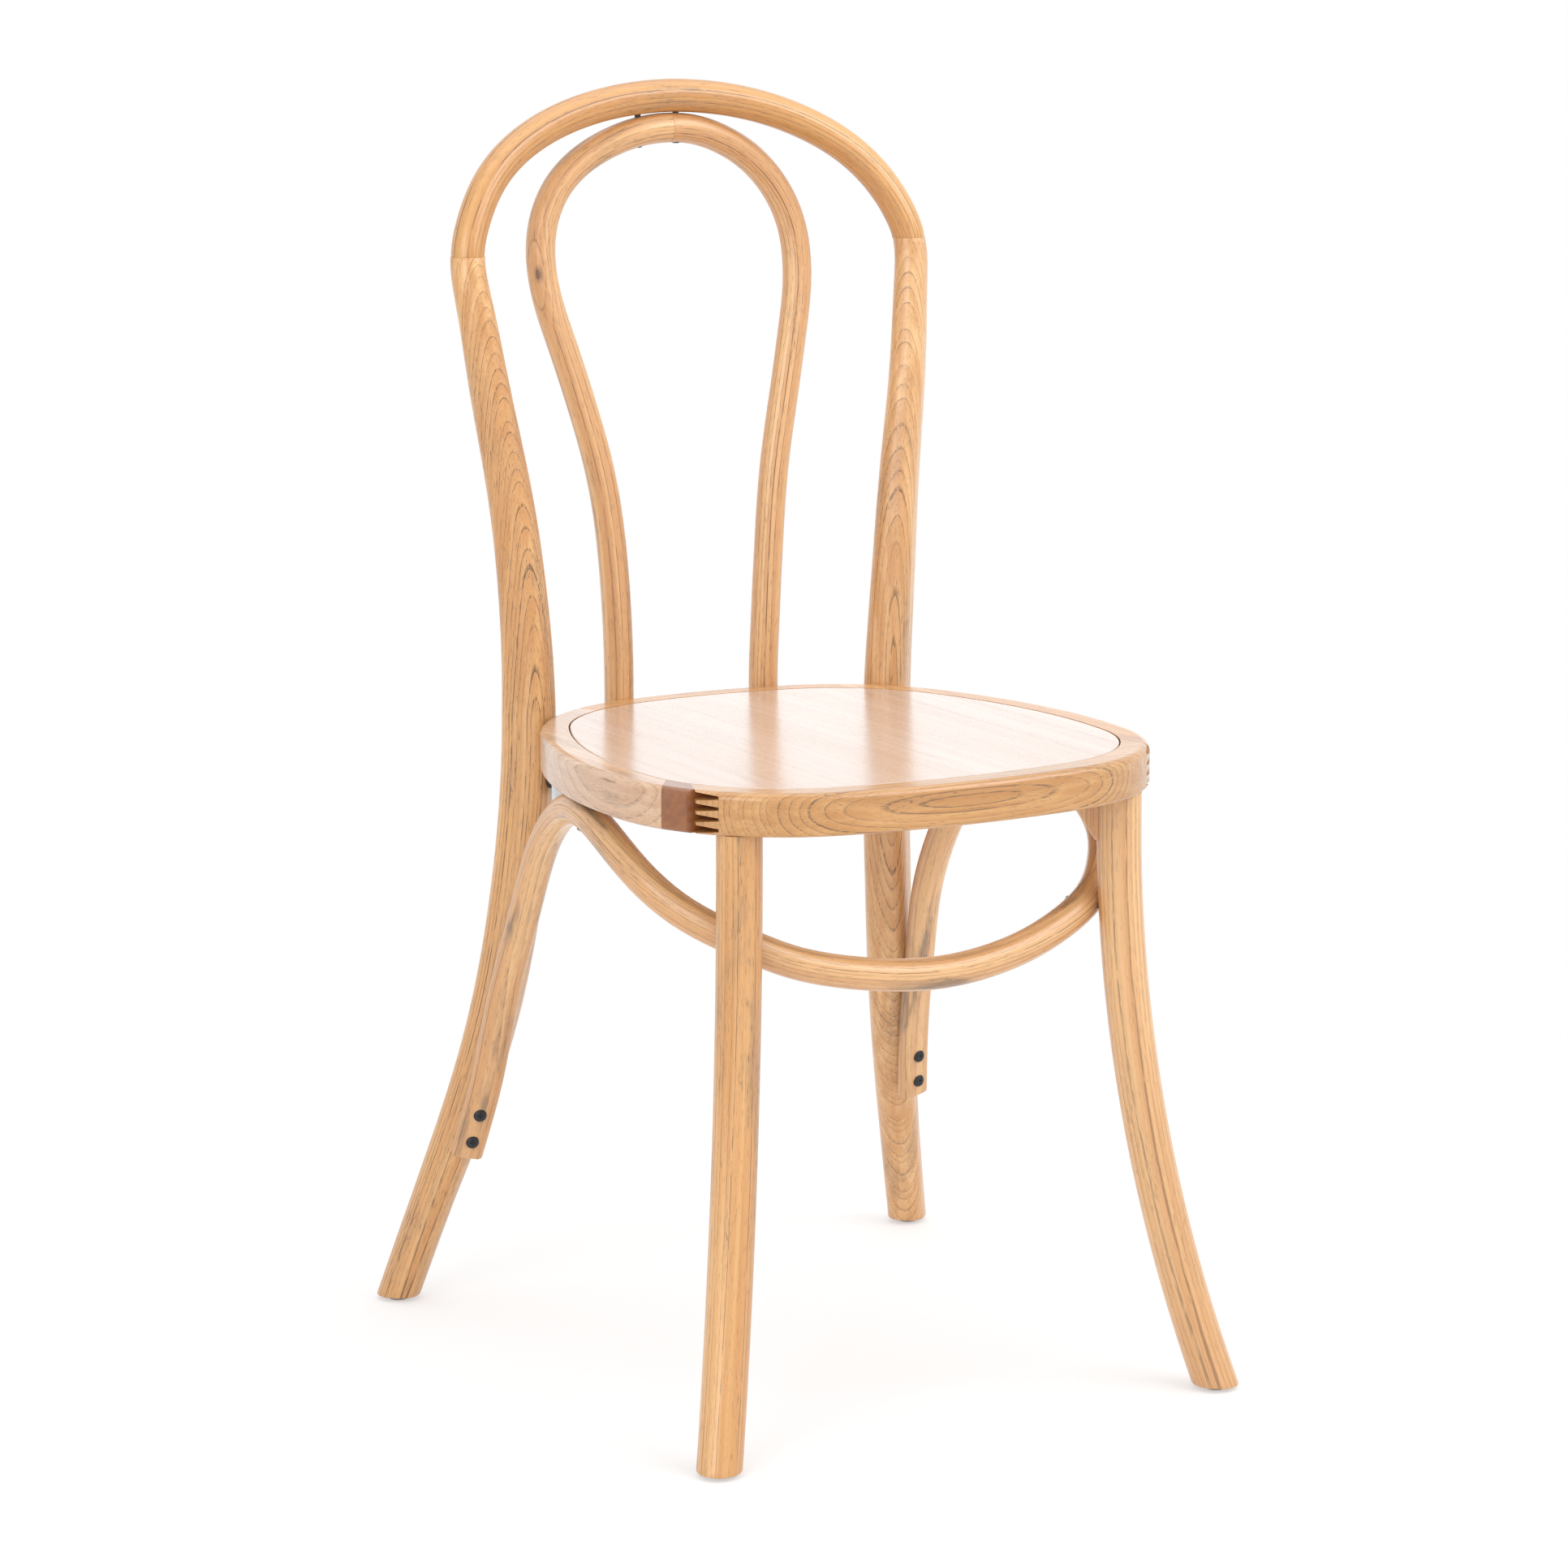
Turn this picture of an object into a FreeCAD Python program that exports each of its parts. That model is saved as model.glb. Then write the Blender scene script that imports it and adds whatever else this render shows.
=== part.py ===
import FreeCAD, Part
import math
import os
import Sketcher
from FreeCAD import Placement, Rotation, Vector

# A bentwood bistro chair: sawn rear legs that run up into a bent arch, an inner hoop in two
# bent halves, a glued seat frame with an inset panel, sabre front legs and one bent leg brace.
# Lengths are millimetres. X is to the right seen from the front, Y points to the back, Z is up.
# The origin is on the floor, in the middle of the four feet. The pieces called right have
# positive X, and the pieces called left are their mirror images.

SIZES = (
    ("overall_height", 889, "floor to the top of the arch"),
    ("seat_height", 446.5, "floor to the top of the seat"),
    ("seat_thickness", 29, "height of the seat frame"),
    ("seat_half_width", 201, "middle to the widest point of the seat"),
    ("seat_widest_y", -69.25, "where the seat is widest"),
    ("seat_front", 227.25, "origin to the front edge of the seat"),
    ("seat_rear", 173.25, "origin to the rear edge of the seat"),
    ("front_arc_radius", 545, "radius of the front edge in plan"),
    ("front_corner_radius", 128, "radius of the front corners in plan"),
    ("side_arc_radius", 376, "radius of the side edges in plan"),
    ("rear_corner_radius", 136.5, "radius of the rear corners in plan"),
    ("rear_arc_radius", 376, "radius of the rear edge in plan"),
    ("rim_width", 20, "rim outside the inset panel"),
    ("rail_width", 58, "whole width of the frame rails, ledge included"),
    ("rim_round", 5.5, "rounding of the upper edge of the frame"),
    ("bottom_round", 3, "rounding of the lower edge of the frame"),
    ("panel_thickness", 7, "inset seat panel"),
    ("panel_gap", 0.9, "open line between panel and rim"),
    ("finger_length", 14, "length of the glued fingers in the frame"),
    ("finger_count", 4, "fingers in the height of the frame"),
    ("front_joint_angle", -39, "front finger joint, seen from the centre of the corner arc"),
    ("block_joint_angle", -23, "butt joint of the corner block, seen from the same centre"),
    ("front_joint_turn", -70, "direction of the front finger joint across the rail"),
    ("block_joint_turn", -55, "direction of the butt joint across the rail"),
    ("rear_joint_angle", 63, "rear finger joint, seen from the centre of the rear corner arc"),
    ("front_leg_diameter", 31, "round front leg"),
    ("front_leg_angle", -46.8, "place of the front leg, seen from the centre of the corner arc"),
    ("front_leg_inset", 17, "front leg axis inside the seat edge"),
    ("front_leg_turn", -51.5, "direction in which the front leg sweeps out"),
    ("front_leg_bend_radius", 1100, "sabre bend of the front leg"),
    ("front_leg_straight", 12, "straight top of the front leg"),
    ("haunch_length", 20.5, "haunch at the top of the front leg, beyond the round"),
    ("haunch_height", 38, "height over which the haunch runs out"),
    ("haunch_width", 22, "thickness of the haunch"),
    ("tenon_diameter", 18, "tenon on top of the front leg"),
    ("tenon_length", 17, "height of the tenon"),
    ("rear_leg_angle", 47, "place and turn of the rear leg, seen from the centre of the corner arc"),
    ("rear_leg_width", 32, "rear leg at the seat, along the seat edge"),
    ("rear_leg_depth", 36.5, "rear leg at the seat, across the seat edge"),
    ("rear_leg_round", 11.5, "corner radius of the rear leg at the seat"),
    ("rear_foot_splay", 69.7, "rear foot outside the leg at the seat"),
    ("rear_foot_kick", 87.2, "rear foot behind the leg at the seat"),
    ("joint_height", 771, "butt joint of rear leg and arch above the floor"),
    ("joint_spread", 31.5, "joint outside the leg at the seat"),
    ("joint_lean", 26, "joint behind the leg at the seat"),
    ("arch_diameter", 24, "bent arch"),
    ("arch_lean", 38.8, "top of the arch behind its joints"),
    ("hoop_diameter", 21.6, "inner hoop"),
    ("hoop_half_width", 104, "inner hoop at its widest, middle to tube centre"),
    ("hoop_foot_x", 59.6, "foot of the inner hoop, middle to tube centre"),
    ("hoop_notch", 1.6, "depth of the hoop feet in the rear rail"),
    ("brace_diameter", 22.5, "round part of the leg brace"),
    ("brace_width", 23.5, "flattened arm of the leg brace, across"),
    ("brace_depth", 13, "flattened end of the leg brace, front to back"),
    ("brace_end_turn", 12, "turn of the flattened ends away from the front"),
    ("brace_end_shift", -5, "lower end of the brace beside the middle of the leg"),
    ("brace_hold_height", 184, "height up to which the arm follows the rear leg"),
    ("brace_leg_gap", 0.9, "between brace and front leg, on the diagonal of the leg"),
    ("brace_bow", 25, "front of the brace before the front leg contact"),
    ("brace_sag", 29, "front of the brace below the front leg contact"),
    ("brace_end_height", 119, "lower end of the brace above the floor"),
    ("brace_contact_height", 336, "height at which the brace passes the front legs"),
    ("brace_side_inset", 18.5, "top of the brace inside the widest seat edge"),
    ("brace_top_y", -12.75, "where the brace touches the seat"),
    ("screw_head_diameter", 9.6, "pan head of the black screws"),
    ("screw_head_height", 3, "height of the pan head"),
    ("screw_diameter", 4.4, "shank of the black screws"),
    ("screw_length", 32, "shank length of the long screws"),
    ("short_screw_length", 17, "shank length of the bracket screws"),
    ("screw_spacing", 21, "between the two screws of a brace end"),
    ("head_seat", 0.6, "depth of the flat that a screw head sits on"),
    ("bore_clearance", 0.2, "play around a shank, dowel or tenon"),
    ("fit_gap", 0.3, "between curved pieces that touch"),
    ("bracket_length", 34, "flange of the bracket under the seat"),
    ("bracket_drop", 30, "flange of the bracket along the leg"),
    ("bracket_width", 26, "width of the bracket"),
    ("bracket_thickness", 2.5, "sheet of the bracket"),
    ("spacer_diameter", 19, "black spacer between leg and bracket"),
    ("spacer_thickness", 6, "thickness of the spacer"),
    ("bolt_diameter", 7.6, "zinc bolt of the rear leg"),
    ("bolt_head", 13, "width across the flats of the bolt head"),
    ("bolt_head_height", 5, "height of the bolt head"),
    ("bolt_length", 26, "bolt under its head"),
    ("bolt_drop", 15, "bolt axis under the seat frame"),
    ("top_screw_left", 24, "left screw under the arch, from the middle"),
    ("top_screw_right", 6, "right screw under the arch, from the middle"),
    ("top_screw_seat", 2.6, "depth at which the heads under the arch sit in the hoop"),
    ("dowel_diameter", 8, "dowels in the butt joints"),
    ("dowel_length", 36, "dowels in the butt joints"),
    ("glide_diameter", 14, "nail glide"),
    ("glide_height", 3, "nail glide under the foot"),
    ("glide_pin_diameter", 2.6, "pin of the nail glide"),
    ("glide_pin_length", 14, "pin of the nail glide"),
)

# Shapes of the free curves and sections, as shares of the sizes above.
# Rear leg under the seat: share of the way up from the foot, of the splay and of the kick,
# then its width, its depth and its corner radius as shares of the sizes at the seat.
LOWER_LEG = (
    (0.000, 1.000, 1.000, 0.900, 0.830, 1.21),
    (0.172, 0.722, 0.756, 0.925, 0.845, 1.19),
    (0.343, 0.451, 0.493, 0.975, 0.915, 1.16),
    (0.515, 0.239, 0.273, 1.010, 0.955, 1.10),
    (0.686, 0.102, 0.127, 1.005, 0.980, 1.03),
    (0.858, 0.016, 0.041, 1.000, 1.000, 1.00),
    (1.000, 0.000, 0.000, 1.000, 1.000, 1.00),
)
# Rear leg over the seat: share of the way up to the joint, of the spread and of the lean,
# then its sections as above. The last one is the end at the joint, made as thick as the arch.
UPPER_LEG = (
    (0.262, 0.134, -0.044, 0.945, 0.905, 1.00),
    (0.486, 0.366, 0.120, 0.880, 0.840, 1.01),
    (0.709, 0.706, 0.418, 0.810, 0.785, 1.02),
    (0.901, 0.948, 0.765, 0.765, 0.710, 1.02),
)
# Arch: share of its rise, of its half span and of its lean.
ARCH = (
    (0.215, 0.959, 0.152),
    (0.444, 0.875, 0.369),
    (0.627, 0.763, 0.572),
    (0.762, 0.634, 0.732),
    (0.858, 0.502, 0.843),
    (0.924, 0.372, 0.915),
    (0.967, 0.245, 0.964),
    (0.991, 0.122, 0.992),
)
# Inner hoop: share of its height, of its half width and of its lean.
HOOP = (
    (0.093, 0.573, 0.000),
    (0.164, 0.582, -0.020),
    (0.237, 0.597, -0.020),
    (0.309, 0.618, 0.000),
    (0.381, 0.648, 0.055),
    (0.452, 0.695, 0.140),
    (0.524, 0.763, 0.260),
    (0.597, 0.841, 0.415),
    (0.654, 0.904, 0.565),
    (0.729, 0.980, 0.780),
    (0.775, 1.000, 0.905),
    (0.824, 0.986, 1.020),
    (0.873, 0.920, 1.125),
    (0.916, 0.802, 1.190),
    (0.9512, 0.637, 1.180),
    (0.977, 0.441, 1.120),
    (0.9942, 0.227, 1.043),
)
# Brace arm from the rear leg up to the seat: share of its rise, of its run to the front and
# of the half width of the seat, then width and depth of its section and its turn in plan.
REAR_ARM = (
    (0.259, 0.095, 0.862, 1.00, 0.70, 11),
    (0.485, 0.202, 0.838, 1.00, 0.86, 9),
    (0.674, 0.328, 0.835, 1.00, 0.94, 6),
    (0.822, 0.467, 0.843, 1.00, 0.97, 4),
    (0.925, 0.632, 0.857, 1.00, 1.00, 2),
    (0.984, 0.813, 0.881, 1.00, 1.00, 0),
)
# Brace arm from the seat down to the front leg, in the same order.
FRONT_ARM = (
    (0.074, 0.226, 0.925, 1.00, 1.00, -2),
    (0.245, 0.441, 0.925, 1.00, 1.00, -12),
    (0.476, 0.637, 0.894, 1.00, 1.00, -26),
    (0.725, 0.808, 0.817, 1.00, 1.00, -42),
)
# Brace hoop between the front legs: share of its sag, of its bow, and of its half span.
FRONT_HOOP = (
    (0.429, 0.306, 0.794),
    (0.830, 0.778, 0.434),
)

doc = FreeCAD.newDocument("bistro_chair")
NODES = []


def make_sheet():
    sheet = doc.addObject("Spreadsheet::Sheet", "Sizes")
    for row, (alias, value, note) in enumerate(SIZES, start=1):
        sheet.set(f"A{row}", alias)
        sheet.set(f"B{row}", str(value))
        sheet.set(f"C{row}", note)
        sheet.setAlias(f"B{row}", alias)
    doc.recompute()
    return sheet


SHEET = make_sheet()


def size(alias):
    return float(SHEET.get(alias))


def node(obj, label):
    """Name a finished sub-part and put it on the list that is written out."""
    obj.Label = label
    NODES.append(obj)
    return obj


def polar(radius, degrees):
    angle = math.radians(degrees)
    return Vector(radius * math.cos(angle), radius * math.sin(angle), 0)


def mirrored(point):
    return Vector(-point.x, point.y, point.z)


def mirror_part(source, name):
    copy = doc.addObject("Part::Mirroring", name)
    copy.Source = source
    copy.Normal = Vector(1, 0, 0)
    return copy


def mirror_node(source, label):
    return node(mirror_part(source, label), label)


# Plan of the seat edge: five arcs on each side that run into each other without a corner.
def arc_centre(first, first_radius, second, second_radius, toward):
    """Centre of the corner arc between two wider arcs, on the side that toward points to."""
    across = second - first
    span = across.Length
    along = (first_radius ** 2 - second_radius ** 2 + span ** 2) / (2 * span)
    rise = math.sqrt(first_radius ** 2 - along ** 2)
    axis = across / span
    side = Vector(-axis.y, axis.x, 0)
    if side.dot(toward) < 0:
        side = -side
    return first + axis * along + side * rise


FRONT_CENTRE = Vector(0, size("front_arc_radius") - size("seat_front"), 0)
REAR_CENTRE = Vector(0, size("seat_rear") - size("rear_arc_radius"), 0)
SIDE_CENTRE = Vector(size("seat_half_width") - size("side_arc_radius"), size("seat_widest_y"), 0)
FRONT_CORNER = arc_centre(
    FRONT_CENTRE, size("front_arc_radius") - size("front_corner_radius"),
    SIDE_CENTRE, size("side_arc_radius") - size("front_corner_radius"), Vector(1, -1, 0))
REAR_CORNER = arc_centre(
    REAR_CENTRE, size("rear_arc_radius") - size("rear_corner_radius"),
    SIDE_CENTRE, size("side_arc_radius") - size("rear_corner_radius"), Vector(1, 1, 0))
SEAT_BOTTOM = size("seat_height") - size("seat_thickness")


def plane_of(body, role):
    return next(item for item in body.Origin.OriginFeatures if item.Role == role)


def sketch_on(body, name, role, offset=Placement()):
    sketch = body.newObject("Sketcher::SketchObject", name)
    sketch.AttachmentSupport = [(plane_of(body, role), "")]
    sketch.MapMode = "FlatFace"
    sketch.AttachmentOffset = offset
    return sketch


def angle_of(vector):
    return math.atan2(vector.y, vector.x)


def seat_outline(body, name, height, inset):
    """Sketch of the seat edge, moved in by the sum of the named insets, at a named height."""
    sketch = sketch_on(body, name, "XY_Plane")
    sketch.setExpression("AttachmentOffset.Base.z", height)
    depth = sum(size(alias) for alias in inset)
    taken = "".join(f" - Sizes.{alias}" for alias in inset)
    front_turn = angle_of(FRONT_CORNER - FRONT_CENTRE)
    side_low = angle_of(FRONT_CORNER - SIDE_CENTRE)
    side_high = angle_of(REAR_CORNER - SIDE_CENTRE)
    rear_turn = angle_of(REAR_CORNER - REAR_CENTRE)
    half = math.pi
    # Angles run counterclockwise from +X, so a mirrored arc has its ends at 180 degrees minus.
    arcs = (
        (FRONT_CENTRE, "front_arc_radius", -half - front_turn, front_turn),
        (FRONT_CORNER, "front_corner_radius", front_turn, side_low),
        (SIDE_CENTRE, "side_arc_radius", side_low, side_high),
        (REAR_CORNER, "rear_corner_radius", side_high, rear_turn),
        (REAR_CENTRE, "rear_arc_radius", rear_turn, half - rear_turn),
        (mirrored(REAR_CORNER), "rear_corner_radius", half - rear_turn, half - side_high),
        (mirrored(SIDE_CENTRE), "side_arc_radius", half - side_high, half - side_low),
        (mirrored(FRONT_CORNER), "front_corner_radius", half - side_low, half - front_turn),
    )
    up = Vector(0, 0, 1)
    for centre, alias, start, end in arcs:
        circle = Part.Circle(centre, up, size(alias) - depth)
        sketch.addGeometry(Part.ArcOfCircle(circle, start, end))
    for index in range(len(arcs)):
        following = (index + 1) % len(arcs)
        sketch.addConstraint(Sketcher.Constraint("Tangent", index, 2, following, 1))
    for index, (centre, alias, start, end) in enumerate(arcs):
        number = sketch.addConstraint(Sketcher.Constraint("Radius", index, size(alias) - depth))
        sketch.setExpression(f"Constraints[{number}]", f"Sizes.{alias}{taken}")
    centres = (
        (0, "Sizes.front_arc_radius - Sizes.seat_front", None),
        (2, "Sizes.seat_widest_y", "Sizes.seat_half_width - Sizes.side_arc_radius"),
        (4, "Sizes.seat_rear - Sizes.rear_arc_radius", None),
        (6, "Sizes.seat_widest_y", "Sizes.side_arc_radius - Sizes.seat_half_width"),
    )
    for index, place_y, place_x in centres:
        centre = arcs[index][0]
        number = sketch.addConstraint(Sketcher.Constraint("DistanceY", -1, 1, index, 3, centre.y))
        sketch.setExpression(f"Constraints[{number}]", place_y)
        if place_x is None:
            sketch.addConstraint(Sketcher.Constraint("PointOnObject", index, 3, -2))
        else:
            number = sketch.addConstraint(Sketcher.Constraint("DistanceX", -1, 1, index, 3, centre.x))
            sketch.setExpression(f"Constraints[{number}]", place_x)
    return sketch


def pad(body, name, sketch, length):
    feature = body.newObject("PartDesign::Pad", name)
    feature.Profile = sketch
    feature.setExpression("Length", length)
    return feature


def pocket(body, name, sketch, length, reverse=False):
    feature = body.newObject("PartDesign::Pocket", name)
    feature.Profile = sketch
    feature.Reversed = reverse
    feature.setExpression("Length", length)
    return feature


def outline(sketch, points):
    """Closed outline of straight lines."""
    for start, end in zip(points, points[1:] + points[:1]):
        sketch.addGeometry(Part.LineSegment(start, end))
    for index in range(len(points)):
        following = (index + 1) % len(points)
        sketch.addConstraint(Sketcher.Constraint("Coincident", index, 2, following, 1))


def outer_edges_at(shape, height):
    """The flat edges at a height that lie on the outermost outline."""
    names = []
    for index, edge in enumerate(shape.Edges, start=1):
        box = edge.BoundBox
        if abs(box.ZMin - height) > 0.01 or abs(box.ZMax - height) > 0.01:
            continue
        radius = edge.Curve.Radius
        aliases = ("front_arc_radius", "front_corner_radius", "side_arc_radius",
                   "rear_corner_radius", "rear_arc_radius")
        if any(abs(radius - size(alias)) < 0.01 for alias in aliases):
            names.append(f"Edge{index}")
    return names


def make_frame_blank():
    """The seat frame before it is divided into rails: rim, ledge for the panel and opening."""
    body = doc.addObject("PartDesign::Body", "frame_blank")
    bottom = "Sizes.seat_height - Sizes.seat_thickness"
    outline = seat_outline(body, "frame_outline", bottom, ())
    pad(body, "frame_pad", outline, "Sizes.seat_thickness")
    rebate = seat_outline(body, "rebate_outline", "Sizes.seat_height", ("rim_width",))
    pocket(body, "rebate", rebate, "Sizes.panel_thickness")
    opening = seat_outline(body, "opening_outline", "Sizes.seat_height", ("rail_width",))
    pocket(body, "opening", opening, "Sizes.seat_thickness")
    doc.recompute()
    for name, height, radius in (("top_rounding", size("seat_height"), "rim_round"),
                                 ("bottom_rounding", SEAT_BOTTOM, "bottom_round")):
        before = body.Tip
        rounding = body.newObject("PartDesign::Fillet", name)
        rounding.Base = (before, outer_edges_at(before.Shape, height))
        rounding.setExpression("Radius", f"Sizes.{radius}")
        doc.recompute()
    return body


FRAME_BLANK = make_frame_blank()


def frame_rotation(x_axis, z_axis):
    """Turn that brings Z onto z_axis and X as near as it can to x_axis."""
    return Rotation(x_axis, Vector(), z_axis, "ZXY")


def rounded_section(body, name, place, width, depth, radius):
    """Rectangle with round corners around the origin of its plane.

    Width, depth and corner radius are each a size and the share of it that is taken.
    """
    sketch = sketch_on(body, name, "XY_Plane", place)
    w, d, r = (size(alias) * share for alias, share in (width, depth, radius))
    w, d = w / 2, d / 2
    corners = ((w - r, d - r, 0), (r - w, d - r, 90), (r - w, r - d, 180), (w - r, r - d, 270))
    up = Vector(0, 0, 1)
    for x, y, start in corners:
        low, high = math.radians(start), math.radians(start + 90)
        sketch.addGeometry(Part.ArcOfCircle(Part.Circle(Vector(x, y, 0), up, r), low, high))
    ends = (
        (Vector(w - r, d, 0), Vector(r - w, d, 0)), (Vector(-w, d - r, 0), Vector(-w, r - d, 0)),
        (Vector(r - w, -d, 0), Vector(w - r, -d, 0)), (Vector(w, r - d, 0), Vector(w, d - r, 0)))
    for start, end in ends:
        sketch.addGeometry(Part.LineSegment(start, end))
    for index in range(4):
        line = 4 + index
        following = (index + 1) % 4
        sketch.addConstraint(Sketcher.Constraint("Tangent", index, 2, line, 1))
        sketch.addConstraint(Sketcher.Constraint("Tangent", line, 2, following, 1))
    sketch.addConstraint(Sketcher.Constraint("Horizontal", 4))
    sketch.addConstraint(Sketcher.Constraint("Vertical", 5))
    for index in (1, 2, 3):
        sketch.addConstraint(Sketcher.Constraint("Equal", 0, index))
    sketch.addConstraint(Sketcher.Constraint("Symmetric", 0, 3, 2, 3, -1, 1))
    width_term, depth_term, radius_term = (
        f"Sizes.{alias} * {share:.4f}" for alias, share in (width, depth, radius))
    number = sketch.addConstraint(Sketcher.Constraint("Radius", 0, r))
    sketch.setExpression(f"Constraints[{number}]", radius_term)
    number = sketch.addConstraint(Sketcher.Constraint("DistanceX", 2, 3, 0, 3, 2 * (w - r)))
    sketch.setExpression(f"Constraints[{number}]", f"{width_term} - 2 * {radius_term}")
    number = sketch.addConstraint(Sketcher.Constraint("DistanceY", 2, 3, 0, 3, 2 * (d - r)))
    sketch.setExpression(f"Constraints[{number}]", f"{depth_term} - 2 * {radius_term}")
    return sketch


def round_section(body, name, place, diameter):
    sketch = sketch_on(body, name, "XY_Plane", place)
    sketch.addGeometry(Part.Circle(Vector(0, 0, 0), Vector(0, 0, 1), 10))
    sketch.addConstraint(Sketcher.Constraint("Coincident", 0, 3, -1, 1))
    number = sketch.addConstraint(Sketcher.Constraint("Diameter", 0, 20))
    sketch.setExpression(f"Constraints[{number}]", diameter)
    return sketch


def loft(body, name, sketches):
    feature = body.newObject("PartDesign::AdditiveLoft", name)
    feature.Profile = sketches[0]
    feature.Sections = sketches[1:]
    return feature


def smooth_line(points, start=None, end=None):
    """Curve through the points; start and end are the directions at its ends, if given."""
    curve = Part.BSplineCurve()
    if start is None:
        curve.interpolate(points)
    else:
        curve.interpolate(points, InitialTangent=start, FinalTangent=end)
    return curve


def direction_at(curve, point):
    tangent = curve.tangent(curve.parameter(point))[0]
    return tangent.normalize()


def even_points(curve, first, last, count):
    """Points at equal steps along the curve from one of its points to another."""
    part = curve.toShape(curve.parameter(first), curve.parameter(last))
    return part.discretize(Number=count)


def blended(curve, stations, point):
    """Values of the stations, mixed for a point of the curve between two of them."""
    at = curve.parameter(point)
    for lower, upper in zip(stations, stations[1:]):
        start, end = curve.parameter(lower[0]), curve.parameter(upper[0])
        if at <= end or upper is stations[-1]:
            part = min(max((at - start) / (end - start), 0), 1)
            return [a + (b - a) * part for a, b in zip(lower[1:], upper[1:])]


# Line of the back: rear foot, seat corner, butt joint, arch and down the other side.
SEAT_LEVEL = size("seat_height")
LEG_ANCHOR = REAR_CORNER + polar(
    size("rear_corner_radius") + size("fit_gap") + size("rear_leg_depth") / 2,
    size("rear_leg_angle"))


def back_points():
    """Points of the right half of the back line, with the sections that belong to the leg."""
    points = []
    foot = size("glide_height")
    for rise, splay, kick, width, depth, radius in LOWER_LEG:
        offset = Vector(splay * size("rear_foot_splay"), kick * size("rear_foot_kick"), 0)
        height = foot + rise * (SEAT_LEVEL - foot)
        points.append((LEG_ANCHOR + offset + Vector(0, 0, height), width, depth, radius))
    for rise, spread, lean, width, depth, radius in UPPER_LEG:
        offset = Vector(spread * size("joint_spread"), lean * size("joint_lean"), 0)
        height = SEAT_LEVEL + rise * (size("joint_height") - SEAT_LEVEL)
        points.append((LEG_ANCHOR + offset + Vector(0, 0, height), width, depth, radius))
    return points


LEG_STATIONS = back_points()
JOINT = LEG_ANCHOR + Vector(size("joint_spread"), size("joint_lean"), size("joint_height"))
JOINT_STATION = (
    JOINT, size("arch_diameter") / size("rear_leg_width"),
    size("arch_diameter") / size("rear_leg_depth"),
    size("arch_diameter") * 0.49 / size("rear_leg_round"))
ARCH_RISE = size("overall_height") - size("arch_diameter") / 2 - size("joint_height")
ARCH_POINTS = [
    Vector(JOINT.x * out, JOINT.y + lean * size("arch_lean"), JOINT.z + rise * ARCH_RISE)
    for rise, out, lean in ARCH]
ARCH_TOP = Vector(0, JOINT.y + size("arch_lean"), JOINT.z + ARCH_RISE)
RIGHT_SIDE = [station[0] for station in LEG_STATIONS] + [JOINT] + ARCH_POINTS
BACK_LINE = smooth_line(RIGHT_SIDE + [ARCH_TOP] + [mirrored(p) for p in reversed(RIGHT_SIDE)])


def leg_axis(height):
    """Point of the right rear leg's line at a height above the floor."""
    low, high = (BACK_LINE.parameter(LEG_STATIONS[0][0]), BACK_LINE.parameter(JOINT))
    for _ in range(50):
        middle = (low + high) / 2
        if BACK_LINE.value(middle).z < height:
            low = middle
        else:
            high = middle
    return BACK_LINE.value(low)


# Local directions at the rear leg: outward across the seat edge, and along the edge.
LEG_OUT = polar(1, size("rear_leg_angle"))
LEG_ALONG = polar(1, size("rear_leg_angle") - 90)


def cylinder(name, place, diameter, length):
    solid = doc.addObject("Part::Cylinder", name)
    solid.setExpression("Radius", f"({diameter}) / 2")
    solid.setExpression("Height", length)
    solid.Placement = place
    return solid


def pointing(origin, direction):
    return Placement(origin, Rotation(Vector(0, 0, 1), direction))


def fused(name, shapes):
    union = doc.addObject("Part::MultiFuse", name)
    union.Shapes = shapes
    return union


def cut_away(name, base, tools):
    """The base without the tools; one tool is used as it is, more are fused first."""
    result = doc.addObject("Part::Cut", name)
    result.Base = base
    result.Tool = tools[0] if len(tools) == 1 else fused(f"{name}_tools", tools)
    return result


def together(label, parts):
    group = doc.addObject("Part::Compound", label)
    group.Links = parts
    return node(group, label)


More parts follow.
